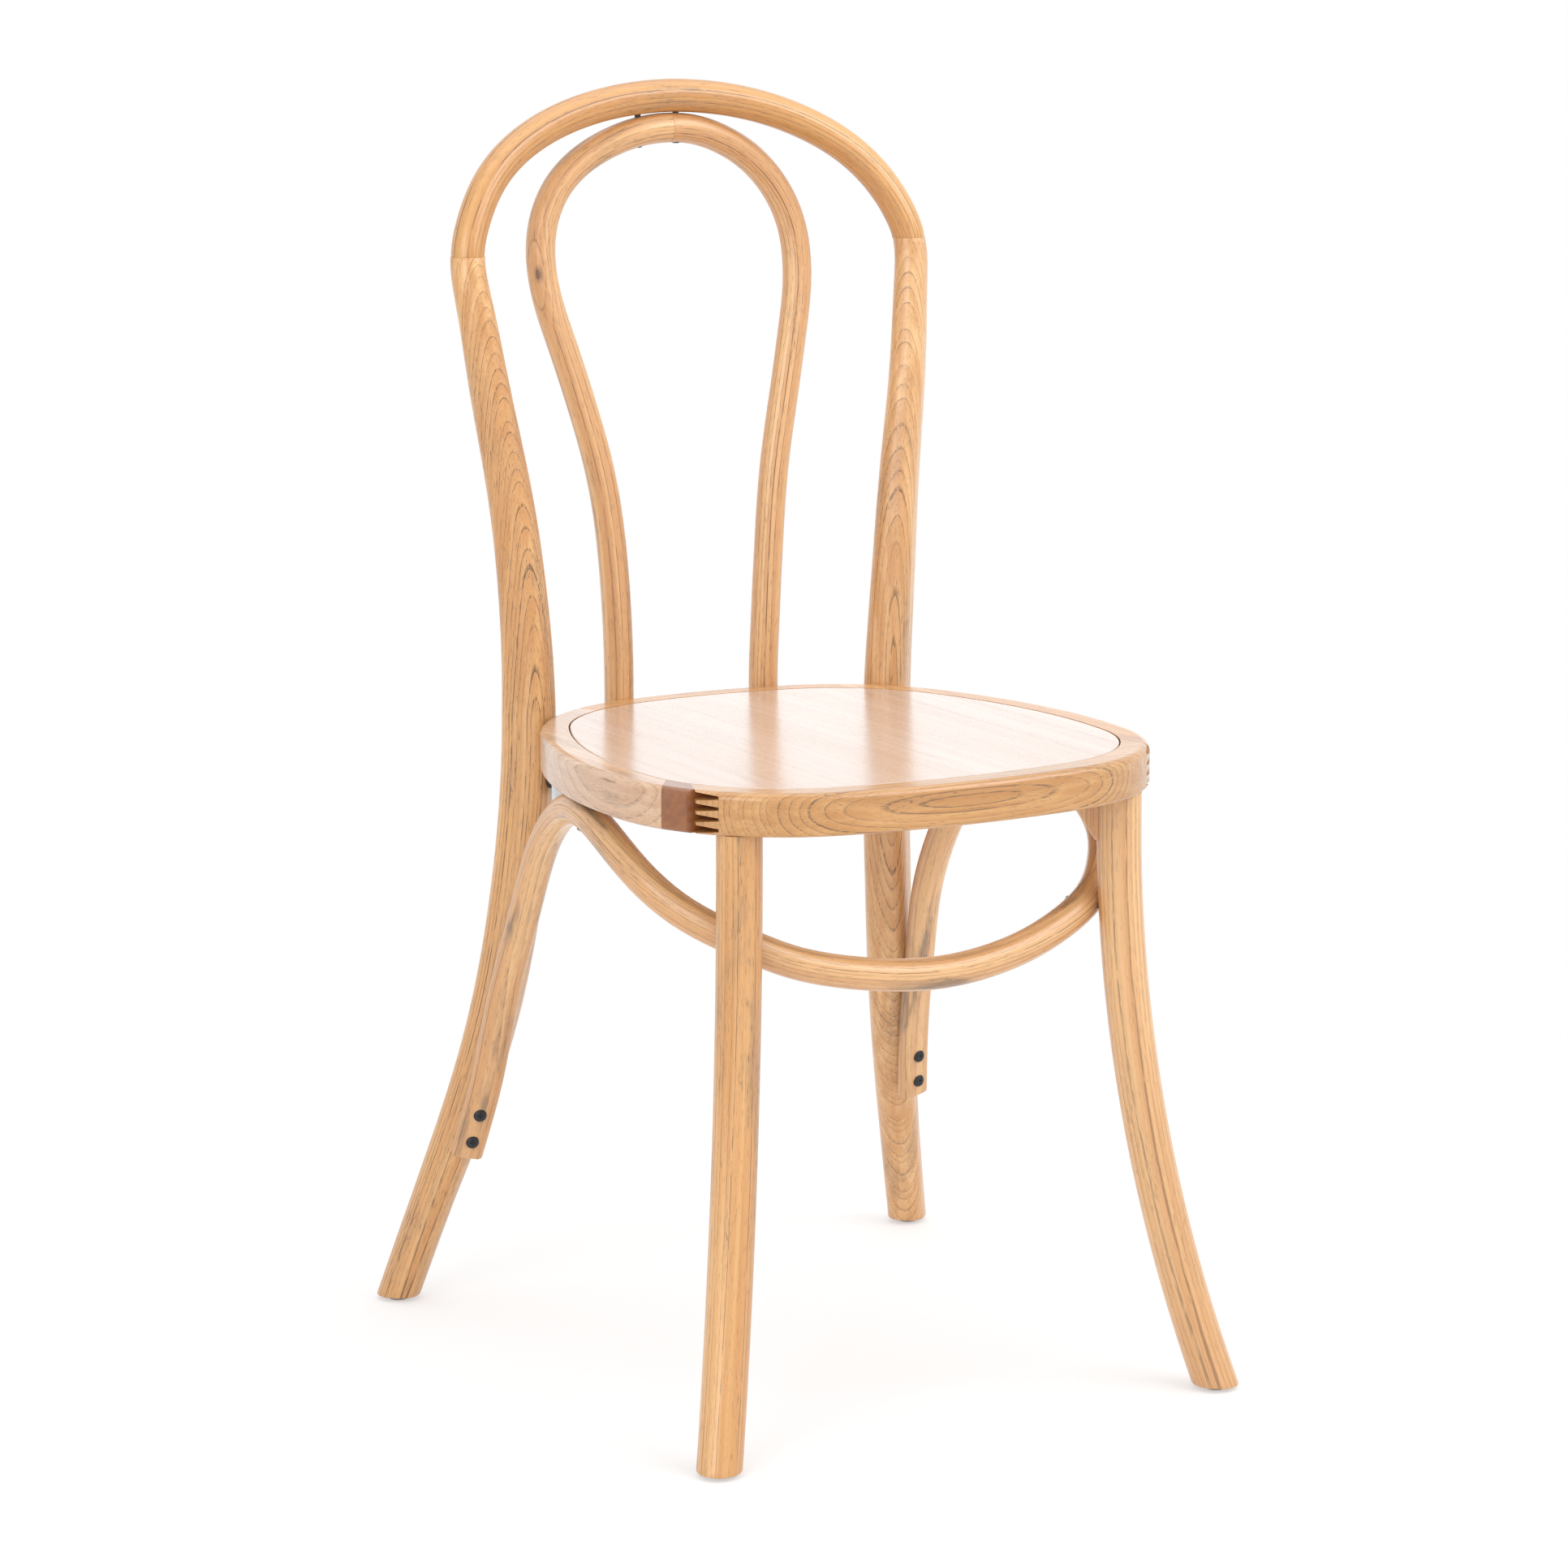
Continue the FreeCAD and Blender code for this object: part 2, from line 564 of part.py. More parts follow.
def make_screw(name, place, length):
    """Pan head screw: the origin is under the head, the shank runs along Z."""
    body = doc.addObject("PartDesign::Body", name)
    sketch = sketch_on(body, f"{name}_profile", "XZ_Plane")
    head, rise = size("screw_head_diameter") / 2, size("screw_head_height")
    shank, reach = size("screw_diameter") / 2, size(length)
    corners = [Vector(0, reach, 0), Vector(0, -rise, 0), Vector(head * 0.45, -rise, 0),
               Vector(head, -rise * 0.4, 0), Vector(head, 0, 0), Vector(shank, 0, 0),
               Vector(shank, reach - shank, 0)]
    for start, end in zip(corners, corners[1:] + corners[:1]):
        sketch.addGeometry(Part.LineSegment(start, end))
    for index in range(len(corners)):
        following = (index + 1) % len(corners)
        sketch.addConstraint(Sketcher.Constraint("Coincident", index, 2, following, 1))
    sketch.addConstraint(Sketcher.Constraint("Vertical", 0))
    for index in (1, 4):
        sketch.addConstraint(Sketcher.Constraint("Horizontal", index))
    for index in (3, 5):
        sketch.addConstraint(Sketcher.Constraint("Vertical", index))
    sketch.addConstraint(Sketcher.Constraint("PointOnObject", 0, 1, -2))
    sketch.addConstraint(Sketcher.Constraint("PointOnObject", 4, 1, -1))
    measures = (
        ("DistanceX", -1, 1, 4, 1, head, "Sizes.screw_head_diameter / 2"),
        ("DistanceX", -1, 1, 4, 2, shank, "Sizes.screw_diameter / 2"),
        ("DistanceX", -1, 1, 1, 2, head * 0.45, "Sizes.screw_head_diameter * 0.225"),
        ("DistanceY", 0, 2, -1, 1, rise, "Sizes.screw_head_height"),
        ("DistanceY", 2, 2, -1, 1, rise * 0.4, "Sizes.screw_head_height * 0.4"),
        ("DistanceY", -1, 1, 0, 1, reach, f"Sizes.{length}"),
        ("DistanceY", -1, 1, 5, 2, reach - shank, f"Sizes.{length} - Sizes.screw_diameter / 2"),
    )
    for kind, first, first_end, second, second_end, value, expression in measures:
        rule = Sketcher.Constraint(kind, first, first_end, second, second_end, value)
        number = sketch.addConstraint(rule)
        sketch.setExpression(f"Constraints[{number}]", expression)
    turned = body.newObject("PartDesign::Revolution", f"{name}_turned")
    turned.Profile = sketch
    turned.ReferenceAxis = (sketch, ["V_Axis"])
    turned.Angle = 360
    body.Placement = place
    return body


def screw_hole(name, place, length):
    """Room for a screw: bore for the shank and a flat for the head, open to the outside."""
    shank = cylinder(f"{name}_bore", place, "Sizes.screw_diameter + 2 * Sizes.bore_clearance",
                     f"Sizes.{length} + Sizes.bore_clearance")
    outward = place.Rotation.multVec(Vector(0, 0, -1))
    seat = cylinder(f"{name}_seat", pointing(place.Base, outward),
                    "Sizes.screw_head_diameter + 2 * Sizes.fit_gap", "2 * Sizes.screw_head_diameter")
    return fused(f"{name}_hole", [shank, seat])


# Back: arch, rear legs and the dowels of their butt joints.
def make_arch():
    body = doc.addObject("PartDesign::Body", "arch_body")
    points = even_points(BACK_LINE, JOINT, mirrored(JOINT), 17)
    sketches = []
    for index, point in enumerate(points):
        tangent = direction_at(BACK_LINE, point)
        if index == 0:
            tangent = Vector(0, 0, 1)
        if index == len(points) - 1:
            tangent = Vector(0, 0, -1)
        place = Placement(point, frame_rotation(Vector(0, -1, 0), tangent))
        sketches.append(round_section(body, f"arch_section_{index}", place, "Sizes.arch_diameter"))
    loft(body, "arch_loft", sketches)
    return body


def make_rear_leg():
    body = doc.addObject("PartDesign::Body", "rear_leg_body")
    sketches = []
    for index, point in enumerate(even_points(BACK_LINE, LEG_STATIONS[0][0], JOINT, 14)[:-1]):
        width, depth, radius = blended(BACK_LINE, LEG_STATIONS + [JOINT_STATION], point)
        slant = direction_at(BACK_LINE, point).z
        place = Placement(point, frame_rotation(LEG_ALONG, Vector(0, 0, 1)))
        sketches.append(rounded_section(
            body, f"leg_section_{index}", place, ("rear_leg_width", width),
            ("rear_leg_depth", depth / slant), ("rear_leg_round", radius)))
    place = Placement(JOINT, frame_rotation(LEG_ALONG, Vector(0, 0, 1)))
    sketches.append(rounded_section(
        body, "leg_section_joint", place, ("arch_diameter", 1), ("arch_diameter", 1),
        ("arch_diameter", 0.49)))
    loft(body, "leg_loft", sketches)
    return body


# Inner hoop: two halves that stand in shallow notches behind the rear rail.
def seat_rear_y(x):
    """Rear edge of the seat at a distance from the middle."""
    return REAR_CENTRE.y + math.sqrt(size("rear_arc_radius") ** 2 - x ** 2)


HOOP_FOOT = Vector(
    size("hoop_foot_x"),
    seat_rear_y(size("hoop_foot_x")) + size("hoop_diameter") / 2 - size("hoop_notch"),
    SEAT_BOTTOM)
HOOP_TOP = ARCH_TOP - Vector(
    0, 0, (size("arch_diameter") + size("hoop_diameter")) / 2 + size("fit_gap"))
HOOP_POINTS = [HOOP_FOOT] + [
    Vector(out * size("hoop_half_width"),
           HOOP_FOOT.y + lean * (HOOP_TOP.y - HOOP_FOOT.y),
           HOOP_FOOT.z + rise * (HOOP_TOP.z - HOOP_FOOT.z))
    for rise, out, lean in HOOP] + [HOOP_TOP]
HOOP_LINE = smooth_line(HOOP_POINTS, Vector(0, 0, 1), Vector(-1, 0, 0))


def make_hoop_half():
    body = doc.addObject("PartDesign::Body", "hoop_body")
    sketches = []
    for index, point in enumerate(even_points(HOOP_LINE, HOOP_FOOT, HOOP_TOP, 16)):
        place = Placement(point, frame_rotation(Vector(0, -1, 0), direction_at(HOOP_LINE, point)))
        sketches.append(round_section(body, f"hoop_section_{index}", place, "Sizes.hoop_diameter"))
    loft(body, "hoop_loft", sketches)
    return body


# Front leg: straight top, sabre bend in the diagonal plane, haunch and tenon.
FRONT_LEG_TOP = FRONT_CORNER + polar(
    size("front_corner_radius") - size("front_leg_inset"), size("front_leg_angle"))
FRONT_LEG_TOP.z = SEAT_BOTTOM
FRONT_OUT = polar(1, size("front_leg_turn"))


def front_leg_axis(height):
    drop = SEAT_BOTTOM - size("front_leg_straight") - height
    radius = size("front_leg_bend_radius")
    out = radius - math.sqrt(radius ** 2 - max(drop, 0) ** 2)
    point = FRONT_LEG_TOP + FRONT_OUT * out
    point.z = height
    return point


def make_front_leg():
    body = doc.addObject("PartDesign::Body", "front_leg_body")
    tenon = round_section(body, "tenon_circle", Placement(FRONT_LEG_TOP, Rotation()),
                          "Sizes.tenon_diameter")
    pad(body, "tenon", tenon, "Sizes.tenon_length")
    shoulder = SEAT_BOTTOM - size("front_leg_straight")
    top = Placement(Vector(FRONT_LEG_TOP.x, FRONT_LEG_TOP.y, shoulder), Rotation())
    straight = round_section(body, "leg_top_circle", top, "Sizes.front_leg_diameter")
    pad(body, "leg_straight", straight, "Sizes.front_leg_straight")
    centre = FRONT_LEG_TOP + FRONT_OUT * size("front_leg_bend_radius")
    centre.z = shoulder
    place = Placement(centre, frame_rotation(-FRONT_OUT, Vector(0, 0, 1)))
    bend = sketch_on(body, "leg_bend_circle", "XY_Plane", place)
    reach = size("front_leg_bend_radius")
    bend.addGeometry(Part.Circle(Vector(reach, 0, 0), Vector(0, 0, 1), 10))
    bend.addConstraint(Sketcher.Constraint("PointOnObject", 0, 3, -1))
    number = bend.addConstraint(Sketcher.Constraint("DistanceX", -1, 1, 0, 3, reach))
    bend.setExpression(f"Constraints[{number}]", "Sizes.front_leg_bend_radius")
    number = bend.addConstraint(Sketcher.Constraint("Diameter", 0, 20))
    bend.setExpression(f"Constraints[{number}]", "Sizes.front_leg_diameter")
    sweep = body.newObject("PartDesign::Revolution", "leg_bend")
    sweep.Profile = bend
    sweep.ReferenceAxis = (bend, ["V_Axis"])
    sweep.Angle = math.degrees(math.asin(shoulder / reach)) + 2
    add_haunch(body)
    trim = sketch_on(body, "floor_trim_circle", "XY_Plane", Placement(
        Vector(front_leg_axis(0).x, front_leg_axis(0).y, size("glide_height")), Rotation()))
    trim.addGeometry(Part.Circle(Vector(0, 0, 0), Vector(0, 0, 1), 60))
    pocket(body, "floor_trim", trim, "3 * Sizes.front_leg_diameter")
    doc.recompute()
    trimmed = body.Tip
    foot = [f"Edge{index}" for index, edge in enumerate(trimmed.Shape.Edges, start=1)
            if abs(edge.BoundBox.ZMax - size("glide_height")) < 0.01]
    rounding = body.newObject("PartDesign::Chamfer", "foot_chamfer")
    rounding.Base = (trimmed, foot)
    rounding.setExpression("Size", "Sizes.front_leg_diameter * 0.04")
    doc.recompute()
    return body


def add_haunch(body):
    """Haunch on the inner side: widest under the seat, running out down the leg."""
    turn = Rotation(-FRONT_OUT, Vector(0, 0, 1), Vector(), "XYZ")
    sketch = sketch_on(body, "haunch_profile", "XY_Plane", Placement(FRONT_LEG_TOP, turn))
    radius = size("front_leg_diameter") / 2
    tip = radius + size("haunch_length")
    drop = size("haunch_height")
    inner = radius * 0.2
    low = radius * 0.6
    outline(sketch, [
        Vector(inner, -drop * 1.1, 0), Vector(inner, 0, 0), Vector(tip, 0, 0),
        Vector(tip, -drop * 0.06, 0), Vector(radius + size("haunch_length") * 0.5, -drop * 0.5, 0),
        Vector(low, -drop * 1.1, 0)])
    feature = pad(body, "haunch", sketch, "Sizes.haunch_width")
    feature.Midplane = True
    doc.recompute()
    side = Vector(0, 0, 1).cross(FRONT_OUT)
    picked = []
    for index, edge in enumerate(body.Tip.Shape.Edges, start=1):
        middle = edge.valueAt((edge.FirstParameter + edge.LastParameter) / 2) - FRONT_LEG_TOP
        across = abs(middle.dot(side))
        inward = -middle.dot(FRONT_OUT)
        if abs(across - size("haunch_width") / 2) < 0.05 and inward > radius and middle.z < -0.5:
            picked.append(f"Edge{index}")
    soft = body.newObject("PartDesign::Fillet", "haunch_rounding")
    soft.Base = (feature, picked)
    soft.setExpression("Radius", "Sizes.haunch_width * 0.2")
    doc.recompute()


# Leg brace: one bent piece from rear leg to rear leg, under the seat and behind the front legs.
BRACE_TURN = size("brace_end_turn")
BRACE_NORMAL = polar(1, BRACE_TURN - 90)
BRACE_SIDE = polar(1, BRACE_TURN)


def brace_on_leg(height, shift, width_share):
    """Point of the arm in front of the rear leg, where its flat back meets the leg."""
    half_leg = size("rear_leg_width") * width_share / 2
    away = half_leg + size("brace_depth") / 2 + size("fit_gap")
    return leg_axis(height) + BRACE_NORMAL * away + BRACE_SIDE * shift


BRACE_END = brace_on_leg(size("brace_end_height"), size("brace_end_shift"), 1.08)
BRACE_HOLD = brace_on_leg(size("brace_hold_height"), 0, 1.18)
BRACE_TOP = Vector(
    size("seat_half_width") - size("brace_side_inset"), size("brace_top_y"),
    SEAT_BOTTOM - size("brace_diameter") / 2 - size("fit_gap"))
BRACE_CONTACT = front_leg_axis(size("brace_contact_height")) - FRONT_OUT * (
    (size("front_leg_diameter") + size("brace_diameter")) / 2 + size("brace_leg_gap"))
BRACE_MIDDLE = Vector(
    0, BRACE_CONTACT.y - size("brace_bow"), BRACE_CONTACT.z - size("brace_sag"))


def brace_stations():
    """Right half of the brace: point, width share, depth share and turn in plan."""
    wide = size("brace_width") / size("brace_diameter")
    flat = size("brace_depth") / size("brace_diameter")
    stations = [(BRACE_END, wide, flat, BRACE_TURN), (BRACE_HOLD, wide, flat, BRACE_TURN)]
    half_width = size("seat_half_width")
    for rise, run, out, width, depth, turn in REAR_ARM:
        point = Vector(
            out * half_width,
            BRACE_HOLD.y + run * (BRACE_TOP.y - BRACE_HOLD.y),
            BRACE_HOLD.z + rise * (BRACE_TOP.z - BRACE_HOLD.z))
        stations.append((point, width, depth, turn))
    stations.append((BRACE_TOP, 1, 1, 0))
    for fall, run, out, width, depth, turn in FRONT_ARM:
        point = Vector(
            out * half_width,
            BRACE_TOP.y + run * (BRACE_CONTACT.y - BRACE_TOP.y),
            BRACE_TOP.z + fall * (BRACE_CONTACT.z - BRACE_TOP.z))
        stations.append((point, width, depth, turn))
    stations.append((BRACE_CONTACT, 1, 1, size("front_leg_turn")))
    for fall, bow, out in FRONT_HOOP:
        point = Vector(
            out * BRACE_CONTACT.x,
            BRACE_CONTACT.y - bow * size("brace_bow"),
            BRACE_CONTACT.z - fall * size("brace_sag"))
        stations.append((point, 1, 1, -90 + 40 * out))
    return stations


BRACE_STATIONS = brace_stations()
BRACE_POINTS = [station[0] for station in BRACE_STATIONS]
BRACE_LINE = smooth_line(
    BRACE_POINTS + [BRACE_MIDDLE] + [mirrored(point) for point in reversed(BRACE_POINTS)])


def make_brace_half():
    """Right half of the brace. Its loft runs past the middle of the hoop and is trimmed there."""
    body = doc.addObject("PartDesign::Body", "brace_body")
    stations = BRACE_STATIONS + [(BRACE_MIDDLE, 1, 1, -90)]
    points = even_points(BRACE_LINE, BRACE_END, BRACE_MIDDLE, 18)
    rows = [(point, *blended(BRACE_LINE, stations, point)) for point in points]
    rows += [(mirrored(point), width, depth, -180 - turn) for point, width, depth, turn in rows[-2:-4:-1]]
    sketches = []
    for index, (point, width, depth, turn) in enumerate(rows):
        place = Placement(
            point, frame_rotation(polar(1, turn), direction_at(BRACE_LINE, point)))
        sketches.append(rounded_section(
            body, f"brace_section_{index}", place, ("brace_diameter", width),
            ("brace_diameter", depth), ("brace_diameter", 0.49 * depth ** 1.5)))
    loft(body, "brace_loft", sketches)
    beyond = cylinder(
        "brace_trim", pointing(BRACE_MIDDLE, Vector(-1, 0, 0)), "4 * Sizes.brace_diameter",
        "Sizes.seat_half_width")
    return cut_away("brace_trimmed", body, [beyond])


# The glued finger joints: a comb in the height of the frame, carried across the rail.
def comb_tool(name, origin, forward):
    """Solid on the forward side of a finger joint that crosses the rail at the origin."""
    body = doc.addObject("PartDesign::Body", name)
    turn = Rotation(forward, Vector(0, 0, 1), Vector(), "XYZ")
    base = Vector(origin.x, origin.y, SEAT_BOTTOM)
    sketch = sketch_on(body, f"{name}_profile", "XY_Plane", Placement(base, turn))
    length = size("finger_length") / 2
    count = int(size("finger_count"))
    high = size("seat_thickness")
    pitch = high / count
    tip = pitch * 0.14
    margin = 5
    reach = 3 * size("seat_half_width")
    points = [Vector(reach, -margin, 0), Vector(reach, high + margin, 0),
              Vector(-length, high + margin, 0)]
    for step in reversed(range(count)):
        low = step * pitch
        points.append(Vector(-length, low + pitch - tip, 0))
        points.append(Vector(length, low + pitch / 2 + tip, 0))
        points.append(Vector(length, low + pitch / 2 - tip, 0))
        points.append(Vector(-length, low + tip, 0))
    points.append(Vector(-length, -margin, 0))
    outline(sketch, points)
    feature = pad(body, f"{name}_pad", sketch, "1.6 * Sizes.seat_half_width")
    feature.Midplane = True
    return body


def half_space(name, origin, forward):
    """Block on the forward side of an upright plane through the origin."""
    body = doc.addObject("PartDesign::Body", name)
    turn = Rotation(forward, Vector(0, 0, 1), Vector(), "XYZ")
    base = Vector(origin.x, origin.y, SEAT_BOTTOM)
    sketch = sketch_on(body, f"{name}_profile", "XY_Plane", Placement(base, turn))
    high = size("seat_thickness") + 5
    reach = 3 * size("seat_half_width")
    outline(sketch, [Vector(0, -5, 0), Vector(reach, -5, 0), Vector(reach, high, 0), Vector(0, high, 0)])
    feature = pad(body, f"{name}_pad", sketch, "1.6 * Sizes.seat_half_width")
    feature.Midplane = True
    return body


def common(name, shapes):
    result = doc.addObject("Part::MultiCommon", name)
    result.Shapes = shapes
    return result


FRONT_JOINT = FRONT_CORNER + polar(size("front_corner_radius"), size("front_joint_angle"))
BLOCK_JOINT = FRONT_CORNER + polar(size("front_corner_radius"), size("block_joint_angle"))
REAR_JOINT = REAR_CORNER + polar(size("rear_corner_radius"), size("rear_joint_angle"))


def make_frame_pieces():
    """Rails and corner blocks, cut from the blank by tools that both neighbours share."""
    front_comb = comb_tool("front_comb", FRONT_JOINT, polar(1, size("front_joint_turn") - 90))
    front_comb_left = mirror_part(front_comb, "front_comb_left")
    rear_comb = comb_tool("rear_comb", REAR_JOINT, polar(1, size("rear_joint_angle") + 90))
    rear_comb_left = mirror_part(rear_comb, "rear_comb_left")
    block_plane = half_space("block_plane", BLOCK_JOINT, polar(1, size("block_joint_turn") - 90))
    right_half = half_space("right_half", Vector(size("rail_width") / 2, 0, 0), Vector(1, 0, 0))
    blank_right = common("blank_right", [FRAME_BLANK, right_half])
    pieces = {
        "front_rail": common("front_rail_blank", [FRAME_BLANK, front_comb, front_comb_left]),
        "rear_rail": common("rear_rail_blank", [FRAME_BLANK, rear_comb, rear_comb_left]),
        "side_rail": cut_away("side_rail_blank", blank_right, [block_plane, rear_comb]),
    }
    corner = common("corner_region", [blank_right, block_plane])
    pieces["block"] = cut_away("corner_block_blank", corner, [front_comb])
    return pieces


FRAME_PIECES = make_frame_pieces()


def make_panel():
    body = doc.addObject("PartDesign::Body", "panel_body")
    outline_sketch = seat_outline(
        body, "panel_outline", "Sizes.seat_height - Sizes.panel_thickness", ("rim_width", "panel_gap"))
    pad(body, "panel_pad", outline_sketch, "Sizes.panel_thickness")
    doc.recompute()
    panel = body.Tip
    top = [f"Edge{index}" for index, edge in enumerate(panel.Shape.Edges, start=1)
           if edge.BoundBox.ZMin > size("seat_height") - 0.01]
    rounding = body.newObject("PartDesign::Fillet", "panel_rounding")
    rounding.Base = (panel, top)
    rounding.setExpression("Radius", "Sizes.panel_gap")
    doc.recompute()
    return body


# Bracket under the seat at each rear leg, with spacer, bolt and screws.
BOLT_HEIGHT = SEAT_BOTTOM - size("bolt_drop")
LEG_AT_BOLT = leg_axis(BOLT_HEIGHT)
LEG_FACE = LEG_AT_BOLT - LEG_OUT * (size("rear_leg_depth") / 2 - 0.8)
BOLT_ORIGIN = LEG_FACE - LEG_OUT * size("spacer_thickness")


def make_bracket():
    """Bent sheet: one flange behind the spacer, one flange under the seat."""
    body = doc.addObject("PartDesign::Body", "bracket_body")
    turn = Rotation(-LEG_OUT, Vector(0, 0, 1), Vector(), "XYZ")
    base = Vector(BOLT_ORIGIN.x, BOLT_ORIGIN.y, SEAT_BOTTOM)
    sketch = sketch_on(body, "bracket_profile", "XY_Plane", Placement(base, turn))
    long, drop, sheet = size("bracket_length"), size("bracket_drop"), size("bracket_thickness")
    outline(sketch, [
        Vector(0, 0, 0), Vector(0, -drop, 0), Vector(sheet, -drop, 0), Vector(sheet, -sheet, 0),
        Vector(long, -sheet, 0), Vector(long, 0, 0)])
    feature = pad(body, "bracket_pad", sketch, "Sizes.bracket_width")
    feature.Midplane = True
    return body


def make_bolt(place):
    body = doc.addObject("PartDesign::Body", "bolt_body")
    head = sketch_on(body, "bolt_head_profile", "XY_Plane")
    corners = []
    for step in range(6):
        corners.append(polar(size("bolt_head") / math.sqrt(3), 60 * step))
    outline(head, corners)
    feature = pad(body, "bolt_head_pad", head, "Sizes.bolt_head_height")
    feature.Reversed = True
    shank = round_section(body, "bolt_shank_circle", Placement(), "Sizes.bolt_diameter")
    pad(body, "bolt_shank", shank, "Sizes.bolt_length")
    body.Placement = place
    return body


def make_glide(name, point):
    base = Vector(point.x, point.y, 0)
    disc = cylinder(f"{name}_disc", Placement(base, Rotation()), "Sizes.glide_diameter",
                    "Sizes.glide_height")
    pin_place = Placement(base, Rotation())
    pin = cylinder(f"{name}_pin", pin_place, "Sizes.glide_pin_diameter",
                   "Sizes.glide_height + Sizes.glide_pin_length")
    return fused(name, [disc, pin])


def glide_hole(name, point):
    base = Vector(point.x, point.y, size("glide_height"))
    return cylinder(name, Placement(base, Rotation()), "Sizes.glide_pin_diameter",
                    "Sizes.glide_pin_length")


# Where the fasteners sit: point under the head and direction of the shank.
def brace_screw_place(height):
    on_line = brace_line_at(height)
    origin = on_line + BRACE_NORMAL * (size("brace_depth") / 2 - size("head_seat"))
    return pointing(origin, -BRACE_NORMAL)


def brace_line_at(height):
    """Point of the right arm of the brace at a height, on its rise in front of the leg."""
    low, high = (BRACE_LINE.parameter(BRACE_END), BRACE_LINE.parameter(BRACE_TOP))
    for _ in range(50):
        middle = (low + high) / 2
        if BRACE_LINE.value(middle).z < height:
            low = middle
        else:
            high = middle
    return BRACE_LINE.value(low)


LOW_SCREW = brace_screw_place(size("brace_end_height") + size("screw_spacing") * 0.57)
HIGH_SCREW = brace_screw_place(size("brace_end_height") + size("screw_spacing") * 1.57)
BRACE_HALF = size("brace_diameter") / 2 - size("head_seat")
SEAT_SCREW = pointing(BRACE_TOP - Vector(0, 0, BRACE_HALF), Vector(0, 0, 1))
LEG_SCREW = pointing(BRACE_CONTACT - FRONT_OUT * BRACE_HALF, FRONT_OUT)
FOOT_SCREW = pointing(
    HOOP_FOOT + Vector(0, size("hoop_diameter") / 2 - size("head_seat"), size("seat_thickness") / 2),
    Vector(0, -1, 0))


def hoop_line_at(x):
    """Point of the inner hoop's line near its top, at a distance from the middle."""
    low, high = (HOOP_LINE.parameter(HOOP_POINTS[-4]), HOOP_LINE.LastParameter)
    for _ in range(50):
        middle = (low + high) / 2
        if HOOP_LINE.value(middle).x > abs(x):
            low = middle
        else:
            high = middle
    return HOOP_LINE.value(low)


def top_screw_place(x):
    point = hoop_line_at(x)
    height = point.z - size("hoop_diameter") / 2 + size("top_screw_seat")
    return pointing(Vector(x, point.y, height), Vector(0, 0, 1))


TOP_SCREWS = (top_screw_place(-size("top_screw_left")), top_screw_place(size("top_screw_right")))
FLANGE_SCREWS = [
    pointing(Vector(BOLT_ORIGIN.x, BOLT_ORIGIN.y, SEAT_BOTTOM - size("bracket_thickness"))
             - LEG_OUT * size("bracket_length") * share, Vector(0, 0, 1))
    for share in (0.42, 0.8)]
ARCH_DOWEL = pointing(
    JOINT - direction_at(BACK_LINE, JOINT) * size("dowel_length") / 2, direction_at(BACK_LINE, JOINT))


def build_back():
    dowel = cylinder("arch_dowel", ARCH_DOWEL, "Sizes.dowel_diameter", "Sizes.dowel_length")
    dowel_left = mirror_part(dowel, "arch_dowel_left")
    together("arch_dowels", [dowel, dowel_left])
    hoop_holes = [screw_hole(f"top_screw_{index}", place, "screw_length")
                  for index, place in enumerate(TOP_SCREWS)]
    node(cut_away("back_arch", make_arch(), [dowel, dowel_left] + hoop_holes), "back_arch")
    foot_hole = screw_hole("hoop_foot", FOOT_SCREW, "screw_length")
    half = cut_away("hoop_half_bored", make_hoop_half(), [foot_hole])
    right = cut_away("inner_hoop_right", half, [hoop_holes[1]])
    left = cut_away("inner_hoop_left", mirror_part(half, "hoop_half_left"), [hoop_holes[0]])
    node(right, "inner_hoop_right")
    node(left, "inner_hoop_left")
    top = [make_screw(f"top_screw_body_{index}", place, "screw_length")
           for index, place in enumerate(TOP_SCREWS)]
    together("hoop_screws", top)
    foot = make_screw("hoop_foot_screw", FOOT_SCREW, "screw_length")
    together("hoop_foot_screws", [foot, mirror_part(foot, "hoop_foot_screw_left")])
    return dowel, foot_hole


def build_rear_leg(dowel, brace_holes, bolt_hole):
    spot = cylinder("spacer_recess", pointing(LEG_FACE, -LEG_OUT),
                    "Sizes.spacer_diameter + 2 * Sizes.fit_gap", "Sizes.spacer_thickness")
    pin = glide_hole("rear_pin_hole", leg_axis(size("glide_height")))
    tools = [dowel, spot, pin, bolt_hole] + brace_holes
    leg = node(cut_away("rear_leg_right", make_rear_leg(), tools), "rear_leg_right")
    mirror_node(leg, "rear_leg_left")


def build_seat(foot_hole, flange_holes, seat_hole, tenon_hole):
    notch = cylinder("hoop_notch_tool", Placement(HOOP_FOOT, Rotation()),
                     "Sizes.hoop_diameter + 2 * Sizes.fit_gap", "Sizes.seat_thickness")
    rear_tools = [notch, foot_hole]
    rear_tools += [mirror_part(tool, f"{tool.Name}_left") for tool in (notch, foot_hole)]
    node(cut_away("seat_rear_rail", FRAME_PIECES["rear_rail"], rear_tools), "seat_rear_rail")
    side = cut_away("seat_side_rail_right", FRAME_PIECES["side_rail"], flange_holes + [seat_hole])
    node(side, "seat_side_rail_right")
    mirror_node(side, "seat_side_rail_left")
    block = node(FRAME_PIECES["block"], "seat_corner_block_right")
    mirror_node(block, "seat_corner_block_left")
    front_tools = [tenon_hole, mirror_part(tenon_hole, "tenon_hole_left")]
    node(cut_away("seat_front_rail", FRAME_PIECES["front_rail"], front_tools), "seat_front_rail")
    node(make_panel(), "seat_panel")


def build_front_leg(leg_hole):
    pin = glide_hole("front_pin_hole", front_leg_axis(size("glide_height")))
    leg = node(cut_away("front_leg_right", make_front_leg(), [leg_hole, pin]), "front_leg_right")
    mirror_node(leg, "front_leg_left")


